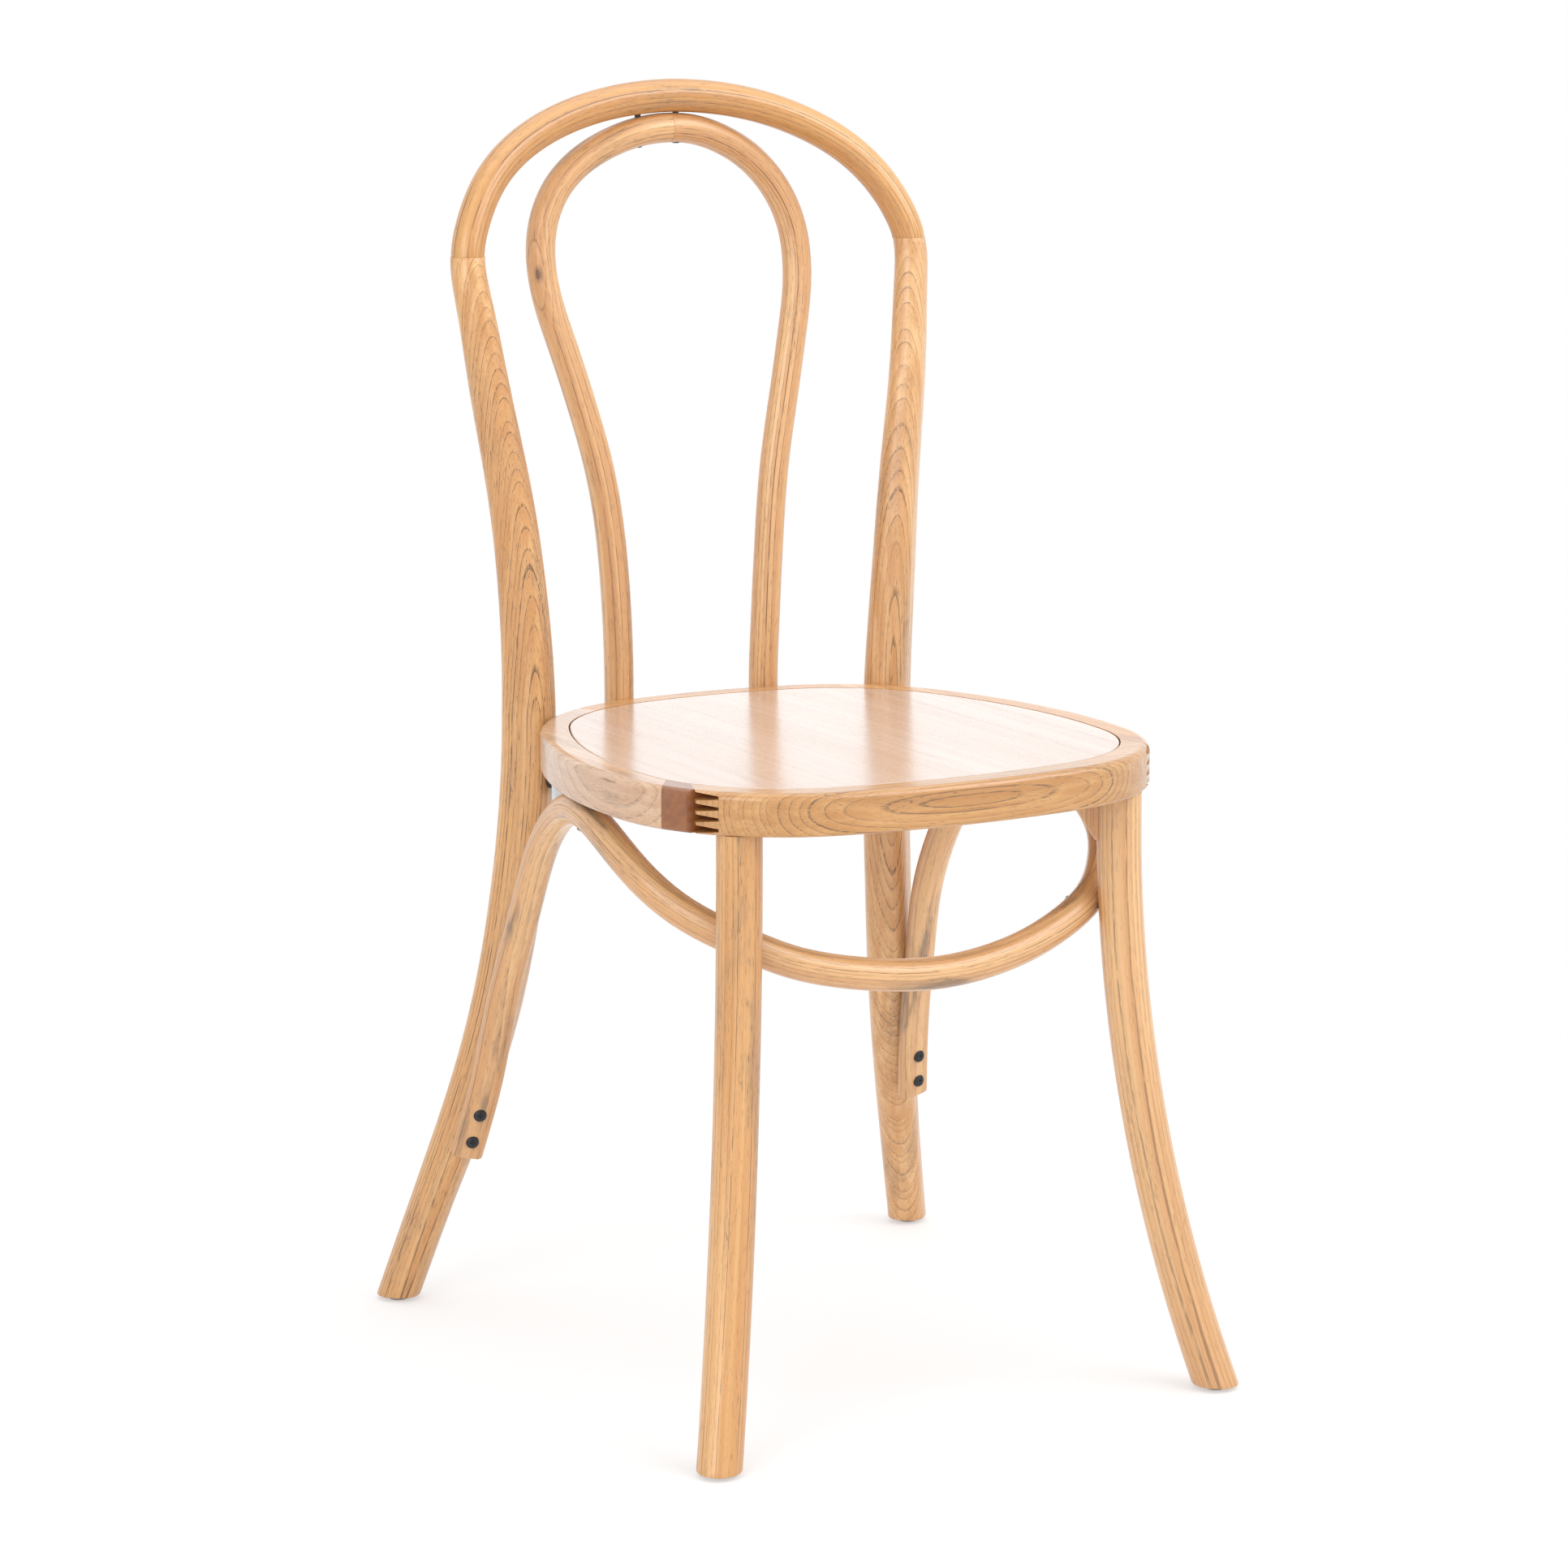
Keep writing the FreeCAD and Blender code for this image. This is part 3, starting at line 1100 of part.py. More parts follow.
def build_fasteners():
    """Everything that is screwed in, each kind as one node."""
    kinds = (
        ("brace_end_screws", (LOW_SCREW, HIGH_SCREW), "screw_length"),
        ("brace_seat_screws", (SEAT_SCREW,), "screw_length"),
        ("brace_front_screws", (LEG_SCREW,), "screw_length"),
        ("bracket_screws", FLANGE_SCREWS, "short_screw_length"),
    )
    for label, places, length in kinds:
        screws = []
        for index, place in enumerate(places):
            screw = make_screw(f"{label}_body_{index}", place, length)
            screws += [screw, mirror_part(screw, f"{label}_left_{index}")]
        together(label, screws)
    bolt = make_bolt(pointing(BOLT_ORIGIN - LEG_OUT * size("bracket_thickness"), LEG_OUT))
    together("bracket_bolts", [bolt, mirror_part(bolt, "bolt_left")])
    points = (leg_axis(size("glide_height")), front_leg_axis(size("glide_height")))
    glides = []
    for name, point in zip(("rear_glide", "front_glide"), points):
        glide = make_glide(name, point)
        glides += [glide, mirror_part(glide, f"{name}_left")]
    together("foot_glides", glides)


def build_bracket(flange_holes, bolt_hole):
    bracket = cut_away("seat_bracket_right", make_bracket(), flange_holes + [bolt_hole])
    node(bracket, "seat_bracket_right")
    mirror_node(bracket, "seat_bracket_left")
    disc = cylinder("spacer_disc", pointing(BOLT_ORIGIN, LEG_OUT), "Sizes.spacer_diameter",
                    "Sizes.spacer_thickness")
    spacer = cut_away("spacer", disc, [bolt_hole])
    together("bracket_spacers", [spacer, mirror_part(spacer, "spacer_left")])


def build_all():
    dowel, foot_hole = build_back()
    brace_holes = [screw_hole("low_screw", LOW_SCREW, "screw_length"),
                   screw_hole("high_screw", HIGH_SCREW, "screw_length")]
    seat_hole = screw_hole("seat_screw", SEAT_SCREW, "screw_length")
    leg_hole = screw_hole("leg_screw", LEG_SCREW, "screw_length")
    flange_holes = [screw_hole(f"flange_screw_{index}", place, "short_screw_length")
                    for index, place in enumerate(FLANGE_SCREWS)]
    bolt_hole = cylinder(
        "bolt_hole", pointing(BOLT_ORIGIN - LEG_OUT * 2 * size("bracket_thickness"), LEG_OUT),
        "Sizes.bolt_diameter + 2 * Sizes.bore_clearance",
        "Sizes.bolt_length + 2 * Sizes.bracket_thickness")
    tenon_hole = cylinder(
        "tenon_hole", Placement(FRONT_LEG_TOP, Rotation()),
        "Sizes.tenon_diameter + 2 * Sizes.bore_clearance", "Sizes.tenon_length + Sizes.bore_clearance")
    build_rear_leg(dowel, brace_holes, bolt_hole)
    build_seat(foot_hole, flange_holes, seat_hole, tenon_hole)
    build_front_leg(leg_hole)
    half = cut_away("brace_half", make_brace_half(), brace_holes + [seat_hole, leg_hole])
    node(fused("leg_brace", [half, mirror_part(half, "brace_half_left")]), "leg_brace")
    build_bracket(flange_holes, bolt_hole)
    build_fasteners()


build_all()
doc.recompute()

os.makedirs("parts", exist_ok=True)
for item in doc.Objects:
    if "Invalid" in item.State or "Error" in item.State:
        raise RuntimeError(f"{item.Name} was not built: {item.State}")
for item in NODES:
    shape = item.Shape
    if shape.isNull() or not shape.isValid() or not shape.Solids:
        raise RuntimeError(f"{item.Label} has no sound shape")
    shape.exportStep(f"parts/{item.Label}.step")
    print(f"{item.Label}: {len(shape.Solids)} solid(s), {shape.Volume / 1000:.1f} cm3")
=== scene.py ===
# %% [markdown]
# # A bentwood bistro chair in the studio
# The round pieces of this chair are bent, its rear legs are sawn from a plank, and its seat frame
# is glued from short boards. The frame already holds every piece as a solid. The solids could be
# painted as they are, but they don't know how their wood was bent or sawn. So the long pieces are
# swept again with their grain, and then come the finishes, the light and the camera.

import math

import bmesh
import bpy
import numpy as np
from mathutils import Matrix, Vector


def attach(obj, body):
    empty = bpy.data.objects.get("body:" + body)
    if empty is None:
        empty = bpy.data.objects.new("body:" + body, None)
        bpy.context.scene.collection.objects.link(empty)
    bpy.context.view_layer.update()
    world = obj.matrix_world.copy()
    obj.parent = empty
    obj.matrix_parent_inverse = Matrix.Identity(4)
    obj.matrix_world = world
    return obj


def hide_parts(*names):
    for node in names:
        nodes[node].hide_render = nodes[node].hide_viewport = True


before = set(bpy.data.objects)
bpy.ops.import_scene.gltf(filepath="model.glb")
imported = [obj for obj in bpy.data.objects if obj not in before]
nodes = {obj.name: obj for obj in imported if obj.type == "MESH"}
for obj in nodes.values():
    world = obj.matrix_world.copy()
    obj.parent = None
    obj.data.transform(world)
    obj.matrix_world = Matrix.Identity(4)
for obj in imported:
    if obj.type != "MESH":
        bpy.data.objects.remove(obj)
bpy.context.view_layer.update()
print("pieces in the frame:", len(nodes))

# %% [markdown]
# ## Sizes
# A chair maker keeps a few sizes and lets the rest follow. The heights below could be measured on
# the solids one by one. Naming them once keeps every new piece on the line of its solid, and shows
# at a glance what drives what. All lengths are metres.

# %% Heights
CHAIR_TOP = 0.889
JOINT_HEIGHT = 0.771
SEAT_TOP = 0.4465
SEAT_BOTTOM = 0.4175
GLIDE_HEIGHT = 0.003
# Play between two pieces that touch
FIT_GAP = 0.0003
print("seat frame thickness:", round(SEAT_TOP - SEAT_BOTTOM, 4))

# %% [markdown]
# ## The outline of the seat
# From above, the seat is a ring of arcs: wide ones in front, behind and at the sides, and a tighter
# one in each corner, where a leg stands. The centres of the corner arcs could be read off a drawing.
# Here they are worked out: an arc of a known radius that touches both of its neighbours can lie in
# only one place at each corner.

# %% Seat outline
SEAT_HALF_WIDTH = 0.201
SEAT_WIDEST_Y = -0.06925
SEAT_FRONT = 0.22725
SEAT_REAR = 0.17325
FRONT_ARC_R = 0.545
SIDE_ARC_R = 0.376
REAR_ARC_R = 0.376
FRONT_CORNER_R = 0.128
REAR_CORNER_R = 0.1365


def corner_centre(first, first_radius, second, second_radius, toward):
    """Centre of the corner arc between two wider arcs of the seat outline."""
    across = second - first
    span = np.linalg.norm(across)
    along = (first_radius ** 2 - second_radius ** 2 + span ** 2) / (2 * span)
    rise = math.sqrt(first_radius ** 2 - along ** 2)
    axis = across / span
    side = np.array([-axis[1], axis[0], 0.0])
    if side @ toward < 0:
        side = -side
    return first + axis * along + side * rise


FRONT_CENTRE = np.array([0, FRONT_ARC_R - SEAT_FRONT, 0])
REAR_CENTRE = np.array([0, SEAT_REAR - REAR_ARC_R, 0])
SIDE_CENTRE = np.array([SEAT_HALF_WIDTH - SIDE_ARC_R, SEAT_WIDEST_Y, 0])
FRONT_CORNER = corner_centre(FRONT_CENTRE, FRONT_ARC_R - FRONT_CORNER_R,
                             SIDE_CENTRE, SIDE_ARC_R - FRONT_CORNER_R, np.array([1, -1, 0]))
REAR_CORNER = corner_centre(REAR_CENTRE, REAR_ARC_R - REAR_CORNER_R,
                            SIDE_CENTRE, SIDE_ARC_R - REAR_CORNER_R, np.array([1, 1, 0]))
print("corner centres:", FRONT_CORNER.round(4), REAR_CORNER.round(4))

# %% Rear leg at the seat
LEG_WIDTH = 0.032
LEG_DEPTH = 0.0365
LEG_ROUND = 0.0115
# Direction of the depth, seen from above, in degrees
LEG_TURN = 47


def plan_direction(degrees):
    angle = math.radians(degrees)
    return np.array([math.cos(angle), math.sin(angle), 0.0])


LEG_ANCHOR = REAR_CORNER + plan_direction(LEG_TURN) * (REAR_CORNER_R + FIT_GAP + LEG_DEPTH / 2)
print("rear leg at the seat:", LEG_ANCHOR.round(4))

# %% [markdown]
# ## Smooth curves
# Steamed wood takes an even curve between the places where the mould holds it. A Blender curve
# with a bevel could give such a rod, but with one section all along and no room for grain. A cubic
# spline through the same places gives points, directions and lengths, and any ring can be set on
# them. `walk` steps along it at even distances, because even rings make the smoothest skin.

# %% Splines
FINE_STEPS = 4000
# A direction is taken between two points this share of the way ahead and behind
LOOK_SHARE = 1e-4


class Spline:
    """Smooth curve through points, with the distance between them as its parameter."""

    def __init__(self, points, start=None, end=None):
        self.points = np.array(points, float)
        self.knots = np.concatenate(
            [[0], np.cumsum(np.linalg.norm(np.diff(self.points, axis=0), axis=1))])
        count = len(self.points)
        step = np.diff(self.knots)
        matrix = np.zeros((count, count))
        right = np.zeros((count, 3))
        for row in range(1, count - 1):
            matrix[row, row - 1] = step[row - 1]
            matrix[row, row] = 2 * (step[row - 1] + step[row])
            matrix[row, row + 1] = step[row]
            rise = np.diff(self.points[row - 1:row + 2], axis=0) / step[row - 1:row + 1, None]
            right[row] = 6 * (rise[1] - rise[0])
        matrix[0, 0] = matrix[-1, -1] = 1
        if start is not None:
            matrix[0, :2] = [2 * step[0], step[0]]
            right[0] = 6 * ((self.points[1] - self.points[0]) / step[0] - np.array(start))
        if end is not None:
            matrix[-1, -2:] = [step[-1], 2 * step[-1]]
            right[-1] = 6 * (np.array(end) - (self.points[-1] - self.points[-2]) / step[-1])
        self.bend = np.linalg.solve(matrix, right)

    def at(self, value):
        value = np.atleast_1d(value)
        index = np.clip(np.searchsorted(self.knots, value, "right") - 1, 0, len(self.knots) - 2)
        width = (self.knots[index + 1] - self.knots[index])[:, None]
        upper = (value - self.knots[index])[:, None] / width
        lower = 1 - upper
        curve = (lower ** 3 - lower) * self.bend[index] + (upper ** 3 - upper) * self.bend[index + 1]
        return lower * self.points[index] + upper * self.points[index + 1] + curve * width ** 2 / 6

    def walk(self, count, first=None, last=None):
        """Points at even distances, their directions, distances and parameters."""
        first = self.knots[0] if first is None else first
        last = self.knots[-1] if last is None else last
        fine = np.linspace(first, last, FINE_STEPS)
        places = self.at(fine)
        run = np.concatenate([[0], np.cumsum(np.linalg.norm(np.diff(places, axis=0), axis=1))])
        distance = np.linspace(0, run[-1], count)
        values = np.interp(distance, run, fine)
        small = (last - first) * LOOK_SHARE
        ahead = self.at(np.clip(values + small, first, last))
        behind = self.at(np.clip(values - small, first, last))
        direction = ahead - behind
        direction /= np.linalg.norm(direction, axis=1)[:, None]
        return self.at(values), direction, distance, values


def mirror(points):
    """The same places on the other side of the chair."""
    return np.array(points, float) * np.array([-1, 1, 1])


print("knots of a quarter circle:", Spline([(1, 0, 0), (0.7, 0.7, 0), (0, 1, 0)]).knots.round(2))

# %% [markdown]
# ## The line of the back
# The sawn rear legs and the bent arch between them follow one line, from foot to foot, with a butt
# joint on each side. Legs and arch could have a curve each. With one for all three, the joints are
# flush and have no kink. The rows below are shares of the sizes above them, so a size can be
# changed without touching a row.

# %% Rear leg line
ARCH_R = 0.012
LEG_SPLAY = 0.0697
LEG_KICK = 0.0872
JOINT_SPREAD = 0.0315
JOINT_LEAN = 0.026
# Shares of the way up to the seat, of splay and of kick, then of width, depth and rounding
LOWER_LEG = np.array([
    (0.000, 1.000, 1.000, 0.900, 0.830, 1.21), (0.172, 0.722, 0.756, 0.925, 0.845, 1.19),
    (0.343, 0.451, 0.493, 0.975, 0.915, 1.16), (0.515, 0.239, 0.273, 1.010, 0.955, 1.10),
    (0.686, 0.102, 0.127, 1.005, 0.980, 1.03), (0.858, 0.016, 0.041, 1.000, 1.000, 1.00),
    (1.000, 0.000, 0.000, 1.000, 1.000, 1.00)])
# Shares of the way from the seat to the joint, of spread and of lean, then the same three
UPPER_LEG = np.array([
    (0.262, 0.134, -0.044, 0.945, 0.905, 1.00), (0.486, 0.366, 0.120, 0.880, 0.840, 1.01),
    (0.709, 0.706, 0.418, 0.810, 0.785, 1.02), (0.901, 0.948, 0.765, 0.765, 0.710, 1.02)])
# The last section ends at the arch, so it is as thick as the arch and nearly round
NEARLY_ROUND = 0.98
JOINT_SECTION = (2 * ARCH_R / LEG_WIDTH, 2 * ARCH_R / LEG_DEPTH, NEARLY_ROUND * ARCH_R / LEG_ROUND)

leg_places = [
    LEG_ANCHOR + (LEG_SPLAY * out, LEG_KICK * back, GLIDE_HEIGHT + rise * (SEAT_TOP - GLIDE_HEIGHT))
    for rise, out, back in LOWER_LEG[:, :3]]
leg_places += [
    LEG_ANCHOR + (JOINT_SPREAD * out, JOINT_LEAN * back, SEAT_TOP + rise * (JOINT_HEIGHT - SEAT_TOP))
    for rise, out, back in UPPER_LEG[:, :3]]
leg_sections = np.vstack([LOWER_LEG[:, 3:], UPPER_LEG[:, 3:], JOINT_SECTION])
JOINT = LEG_ANCHOR + np.array([JOINT_SPREAD, JOINT_LEAN, JOINT_HEIGHT])
print("places of the rear leg:", len(leg_places))

# %% Arch and back line
ARCH_LEAN = 0.0388
ARCH_RISE = CHAIR_TOP - ARCH_R - JOINT_HEIGHT
# Shares of the rise over the joint, of the half span and of the lean
ARCH = (
    (0.215, 0.959, 0.152), (0.444, 0.875, 0.369), (0.627, 0.763, 0.572), (0.762, 0.634, 0.732),
    (0.858, 0.502, 0.843), (0.924, 0.372, 0.915), (0.967, 0.245, 0.964), (0.991, 0.122, 0.992))
arch_places = [
    (JOINT[0] * out, JOINT[1] + lean * ARCH_LEAN, JOINT[2] + rise * ARCH_RISE)
    for rise, out, lean in ARCH]
ARCH_TOP = np.array([0, JOINT[1] + ARCH_LEAN, JOINT[2] + ARCH_RISE])
right_side = leg_places + [JOINT] + arch_places
BACK_LINE = Spline(right_side + [ARCH_TOP] + list(mirror(right_side[::-1])))
leg_knots = BACK_LINE.knots[:len(leg_places) + 1]
print("back line:", round(BACK_LINE.knots[-1], 3), "m, one leg of it:", round(leg_knots[-1], 3), "m")

# %% [markdown]
# ## The line of the inner hoop
# The inner hoop is bent in two halves that meet in a butt joint under the arch. Each half starts
# behind the rear rail, let into it a little. It could be one closed curve, but the halves are
# mirror images, so one line is enough. Its start points straight up and its end straight across.

# %% Hoop line
HOOP_R = 0.0108
HOOP_HALF_WIDTH = 0.104
HOOP_FOOT_X = 0.0596
HOOP_NOTCH = 0.0016
# Shares of the height, of the half width and of the lean
HOOP = (
    (0.093, 0.573, 0.000), (0.164, 0.582, -0.020), (0.237, 0.597, -0.020), (0.309, 0.618, 0.000),
    (0.381, 0.648, 0.055), (0.452, 0.695, 0.140), (0.524, 0.763, 0.260), (0.597, 0.841, 0.415),
    (0.654, 0.904, 0.565), (0.729, 0.980, 0.780), (0.775, 1.000, 0.905), (0.824, 0.986, 1.020),
    (0.873, 0.920, 1.125), (0.916, 0.802, 1.190), (0.9512, 0.637, 1.180),
    (0.977, 0.441, 1.120), (0.9942, 0.227, 1.043))
rail_back_y = REAR_CENTRE[1] + math.sqrt(REAR_ARC_R ** 2 - HOOP_FOOT_X ** 2)
HOOP_FOOT = np.array([HOOP_FOOT_X, rail_back_y + HOOP_R - HOOP_NOTCH, SEAT_BOTTOM])
HOOP_TOP = ARCH_TOP - (0, 0, ARCH_R + HOOP_R + FIT_GAP)
hoop_places = [
    (out * HOOP_HALF_WIDTH, HOOP_FOOT[1] + lean * (HOOP_TOP[1] - HOOP_FOOT[1]),
     HOOP_FOOT[2] + rise * (HOOP_TOP[2] - HOOP_FOOT[2])) for rise, out, lean in HOOP]
HOOP_LINE = Spline([HOOP_FOOT] + hoop_places + [HOOP_TOP], (0, 0, 1), (-1, 0, 0))
print("hoop half:", round(HOOP_LINE.knots[-1], 3), "m")

# %% [markdown]
# ## The line of the front leg
# The front leg is turned round and then bent to a sabre: a short straight top, and one long arc
# that sweeps out over the corner. A spline could follow it, but a bending mould is a plain arc, so
# the middle of the leg at any height is a formula.

# %% Front leg line
FRONT_LEG_R = 0.0155
FRONT_LEG_ANGLE = -46.8
FRONT_LEG_INSET = 0.017
FRONT_TURN = -51.5
SABRE_R = 1.1
STRAIGHT_TOP = 0.012
FRONT_OUT = plan_direction(FRONT_TURN)
FRONT_LEG_TOP = (FRONT_CORNER + plan_direction(FRONT_LEG_ANGLE) * (FRONT_CORNER_R - FRONT_LEG_INSET)
                 + (0, 0, SEAT_BOTTOM))


def front_leg_axis(height):
    drop = max(SEAT_BOTTOM - STRAIGHT_TOP - height, 0)
    out = SABRE_R - math.sqrt(SABRE_R ** 2 - drop ** 2)
    return np.array([FRONT_LEG_TOP[0], FRONT_LEG_TOP[1], height]) + FRONT_OUT * out


print("front foot:", front_leg_axis(GLIDE_HEIGHT).round(4))

# %% [markdown]
# ## The line of the leg brace
# One bent stick stiffens all four legs. It is screwed flat to a rear leg, rises to the seat, runs
# forward under it, drops behind the front legs in a bow, and does the same on the other side. It
# could be made from two arms and a hoop. The real one shows no joint, so a single line follows the
# contacts: on each leg and under the seat it lies a hair away from what it touches.

# %% Brace contacts
BRACE_R = 0.01125
BRACE_WIDTH = 0.0235
BRACE_DEPTH = 0.013
BRACE_TURN = 12
BRACE_END_HEIGHT = 0.119
BRACE_END_SHIFT = -0.005
BRACE_HOLD_HEIGHT = 0.184
# Width of the leg that the strap has to clear, as a share: at its end, and where it lets go
END_SHARE = 1.08
HOLD_SHARE = 1.18
BRACE_INSET = 0.0185
BRACE_TOP_Y = -0.01275
BRACE_CONTACT_HEIGHT = 0.336
BRACE_LEG_GAP = 0.0009
BRACE_BOW = 0.025
BRACE_SAG = 0.029
BRACE_NORMAL = plan_direction(BRACE_TURN - 90)
BRACE_SIDE = plan_direction(BRACE_TURN)


def back_at(height):
    """Point of the back line at a height, on the right rear leg."""
    fine = np.linspace(0, leg_knots[-1], FINE_STEPS // 2)
    return BACK_LINE.at(np.interp(height, BACK_LINE.at(fine)[:, 2], fine))[0]


def brace_on_leg(height, shift, width_share):
    away = LEG_WIDTH * width_share / 2 + BRACE_DEPTH / 2 + FIT_GAP
    return back_at(height) + BRACE_NORMAL * away + BRACE_SIDE * shift


BRACE_END = brace_on_leg(BRACE_END_HEIGHT, BRACE_END_SHIFT, END_SHARE)
BRACE_HOLD = brace_on_leg(BRACE_HOLD_HEIGHT, 0, HOLD_SHARE)
BRACE_TOP = np.array([SEAT_HALF_WIDTH - BRACE_INSET, BRACE_TOP_Y, SEAT_BOTTOM - BRACE_R - FIT_GAP])
BRACE_CONTACT = (front_leg_axis(BRACE_CONTACT_HEIGHT)
                 - FRONT_OUT * (FRONT_LEG_R + BRACE_R + BRACE_LEG_GAP))
BRACE_MIDDLE = np.array([0, BRACE_CONTACT[1] - BRACE_BOW, BRACE_CONTACT[2] - BRACE_SAG])
print("brace end:", BRACE_END.round(4), "top:", BRACE_TOP.round(4), "contact:", BRACE_CONTACT.round(4))

# %% Brace line
# Shares of the height between two contacts, of the way to the front and of the seat's half width,
# then of the round rod's width and depth, and the direction of the width in plan, in degrees
REAR_ARM = (
    (0.259, 0.095, 0.862, 1.00, 0.70, 11), (0.485, 0.202, 0.838, 1.00, 0.86, 9),
    (0.674, 0.328, 0.835, 1.00, 0.94, 6), (0.822, 0.467, 0.843, 1.00, 0.97, 4),
    (0.925, 0.632, 0.857, 1.00, 1.00, 2), (0.984, 0.813, 0.881, 1.00, 1.00, 0))
FRONT_ARM = (
    (0.074, 0.226, 0.925, 1.00, 1.00, -2), (0.245, 0.441, 0.925, 1.00, 1.00, -12),
    (0.476, 0.637, 0.894, 1.00, 1.00, -26), (0.725, 0.808, 0.817, 1.00, 1.00, -42))
# Shares of the sag, of the bow and of the half span between the front legs
FRONT_BOW = ((0.429, 0.306, 0.794), (0.830, 0.778, 0.434))
BOW_TURN = 40


def arm_keys(rows, start, stop):
    """Places between two contacts, each with the width, depth and turn of its section."""
    return [((out * SEAT_HALF_WIDTH, start[1] + run * (stop[1] - start[1]),
              start[2] + rise * (stop[2] - start[2])), width, depth, turn)
            for rise, run, out, width, depth, turn in rows]


strap = (BRACE_WIDTH / (2 * BRACE_R), BRACE_DEPTH / (2 * BRACE_R), BRACE_TURN)
brace_keys = [(BRACE_END, *strap), (BRACE_HOLD, *strap)]
brace_keys += arm_keys(REAR_ARM, BRACE_HOLD, BRACE_TOP)
brace_keys.append((BRACE_TOP, 1, 1, 0))
brace_keys += arm_keys(FRONT_ARM, BRACE_TOP, BRACE_CONTACT)
brace_keys.append((BRACE_CONTACT, 1, 1, FRONT_TURN))
for fall, bow, out in FRONT_BOW:
    place = (out * BRACE_CONTACT[0], BRACE_CONTACT[1] - bow * BRACE_BOW,
             BRACE_CONTACT[2] - fall * BRACE_SAG)
    brace_keys.append((place, 1, 1, BOW_TURN * out - 90))
brace_keys.append((BRACE_MIDDLE, 1, 1, -90))
brace_keys += [(mirror(place), width, depth, -180 - turn)
               for place, width, depth, turn in reversed(brace_keys[:-1])]
BRACE_LINE = Spline([key[0] for key in brace_keys])
print("brace:", round(BRACE_LINE.knots[-1], 3), "m long")

# %% [markdown]
# ## Rings of a stick
# A cross-section of these pieces is a soft rectangle: a circle where the piece is turned or bent
# round, nearly a box where it is sawn. Circles and boxes could be two kinds of ring. One formula
# for both lets a rear leg go from a round foot to a squarish middle without a seam.

# %% Sections
RING_POINTS = 48
# Each halving brings a point twice as close to the outline
HALVINGS = 34
SMALLEST_FLAT = 1e-6


def outline(width, depth, radius, count=RING_POINTS):
    """Soft rectangle around the origin, as points at even angles."""
    radius = min(radius, width / 2 - SMALLEST_FLAT, depth / 2 - SMALLEST_FLAT)
    angles = np.linspace(0, 2 * math.pi, count, endpoint=False)
    ways = np.column_stack([np.cos(angles), np.sin(angles)])
    inner = np.array([width / 2 - radius, depth / 2 - radius])
    low = np.zeros((count, 1))
    high = np.full((count, 1), width + depth)
    for _ in range(HALVINGS):
        reach = (low + high) / 2
        gap = np.maximum(np.abs(ways * reach) - inner, 0)
        inside = np.hypot(gap[:, :1], gap[:, 1:]) < radius
        low = np.where(inside, reach, low)
        high = np.where(inside, high, reach)
    return ways * low


def frames(directions, hints):
    """Across and up directions for each ring: across as near as can be to the hint."""
    hints = np.broadcast_to(hints, directions.shape)
    across = hints - directions * np.sum(hints * directions, axis=1)[:, None]
    across /= np.linalg.norm(across, axis=1)[:, None]
    return across, np.cross(directions, across)


print("rear leg section:", outline(LEG_WIDTH, LEG_DEPTH, LEG_ROUND).max(axis=0).round(4))

# %% [markdown]
# ## Tubes that know their grain
# Before it was bent, each piece was a straight stick with straight grain. A sweep could be made
# with a curve object or a screw modifier. Here a circle is extruded ring by ring, because each
# vertex can then store its place in the straight stick: across, across and along. The wood reads
# that place later. The cut ends are closed and get a small rounded edge, as a sander leaves them.

# %% Sweep
# The skin stays this far inside its solid, so the chair doesn't grow
SKIN_INSET = 0.00006
ROUND_STEPS = 3


def new_object(name, bm, material):
    """Turns a finished bmesh into a piece that rides on the chair's one body."""
    bmesh.ops.recalc_face_normals(bm, faces=bm.faces)
    for face in bm.faces:
        face.smooth = len(face.verts) == 4
    mesh = bpy.data.meshes.new(name)
    bm.to_mesh(mesh)
    bm.free()
    piece = bpy.data.objects.new(name, mesh)
    bpy.context.scene.collection.objects.link(piece)
    mesh.materials.append(material)
    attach(piece, "root")
    return piece


def next_ring(bm, ring):
    """Extrudes a closed ring of vertices and returns the new ring in the same order."""
    edges = [bm.edges.get((vert, ring[index - 1])) for index, vert in enumerate(ring)]
    fresh = bmesh.ops.extrude_edge_only(bm, edges=edges)["geom"]
    fresh = {item for item in fresh if isinstance(item, bmesh.types.BMVert)}
    return [next(edge.other_vert(vert) for edge in vert.link_edges if edge.other_vert(vert) in fresh)
            for vert in ring]


def sweep(name, centres, across, up, sections, along, material, ends, grain=None):
    """Skin through rings; grain places default to (across, up, along) of the straight stick."""
    bm = bmesh.new()
    stick = bm.verts.layers.float_vector.new("grain")
    ring = bmesh.ops.create_circle(bm, cap_ends=True, radius=1, segments=len(sections[0]))["verts"]
    borders = []
    for index, centre in enumerate(centres):
        if index:
            ring = next_ring(bm, ring)
        section = sections[index] - np.sign(sections[index]) * SKIN_INSET
        places = centre + section[:, :1] * across[index] + section[:, 1:] * up[index]
        grains = (np.column_stack([section, np.full(len(section), along[index])])
                  if grain is None else grain(places))
        for vert, place, value in zip(ring, places, grains):
            vert.co = place
            vert[stick] = value
        if index in (0, len(centres) - 1):
            borders.append([bm.edges.get((vert, ring[turn - 1])) for turn, vert in enumerate(ring)])
    bmesh.ops.contextual_create(bm, geom=borders[1])
    for border, width in zip(borders, ends):
        bmesh.ops.bevel(bm, geom=border, offset=width, offset_type="OFFSET", affect="EDGES",
                        segments=ROUND_STEPS, profile=0.5, material=-1, clamp_overlap=True)
    return new_object(name, bm, material)


print("a cut end is rounded in", ROUND_STEPS, "steps")

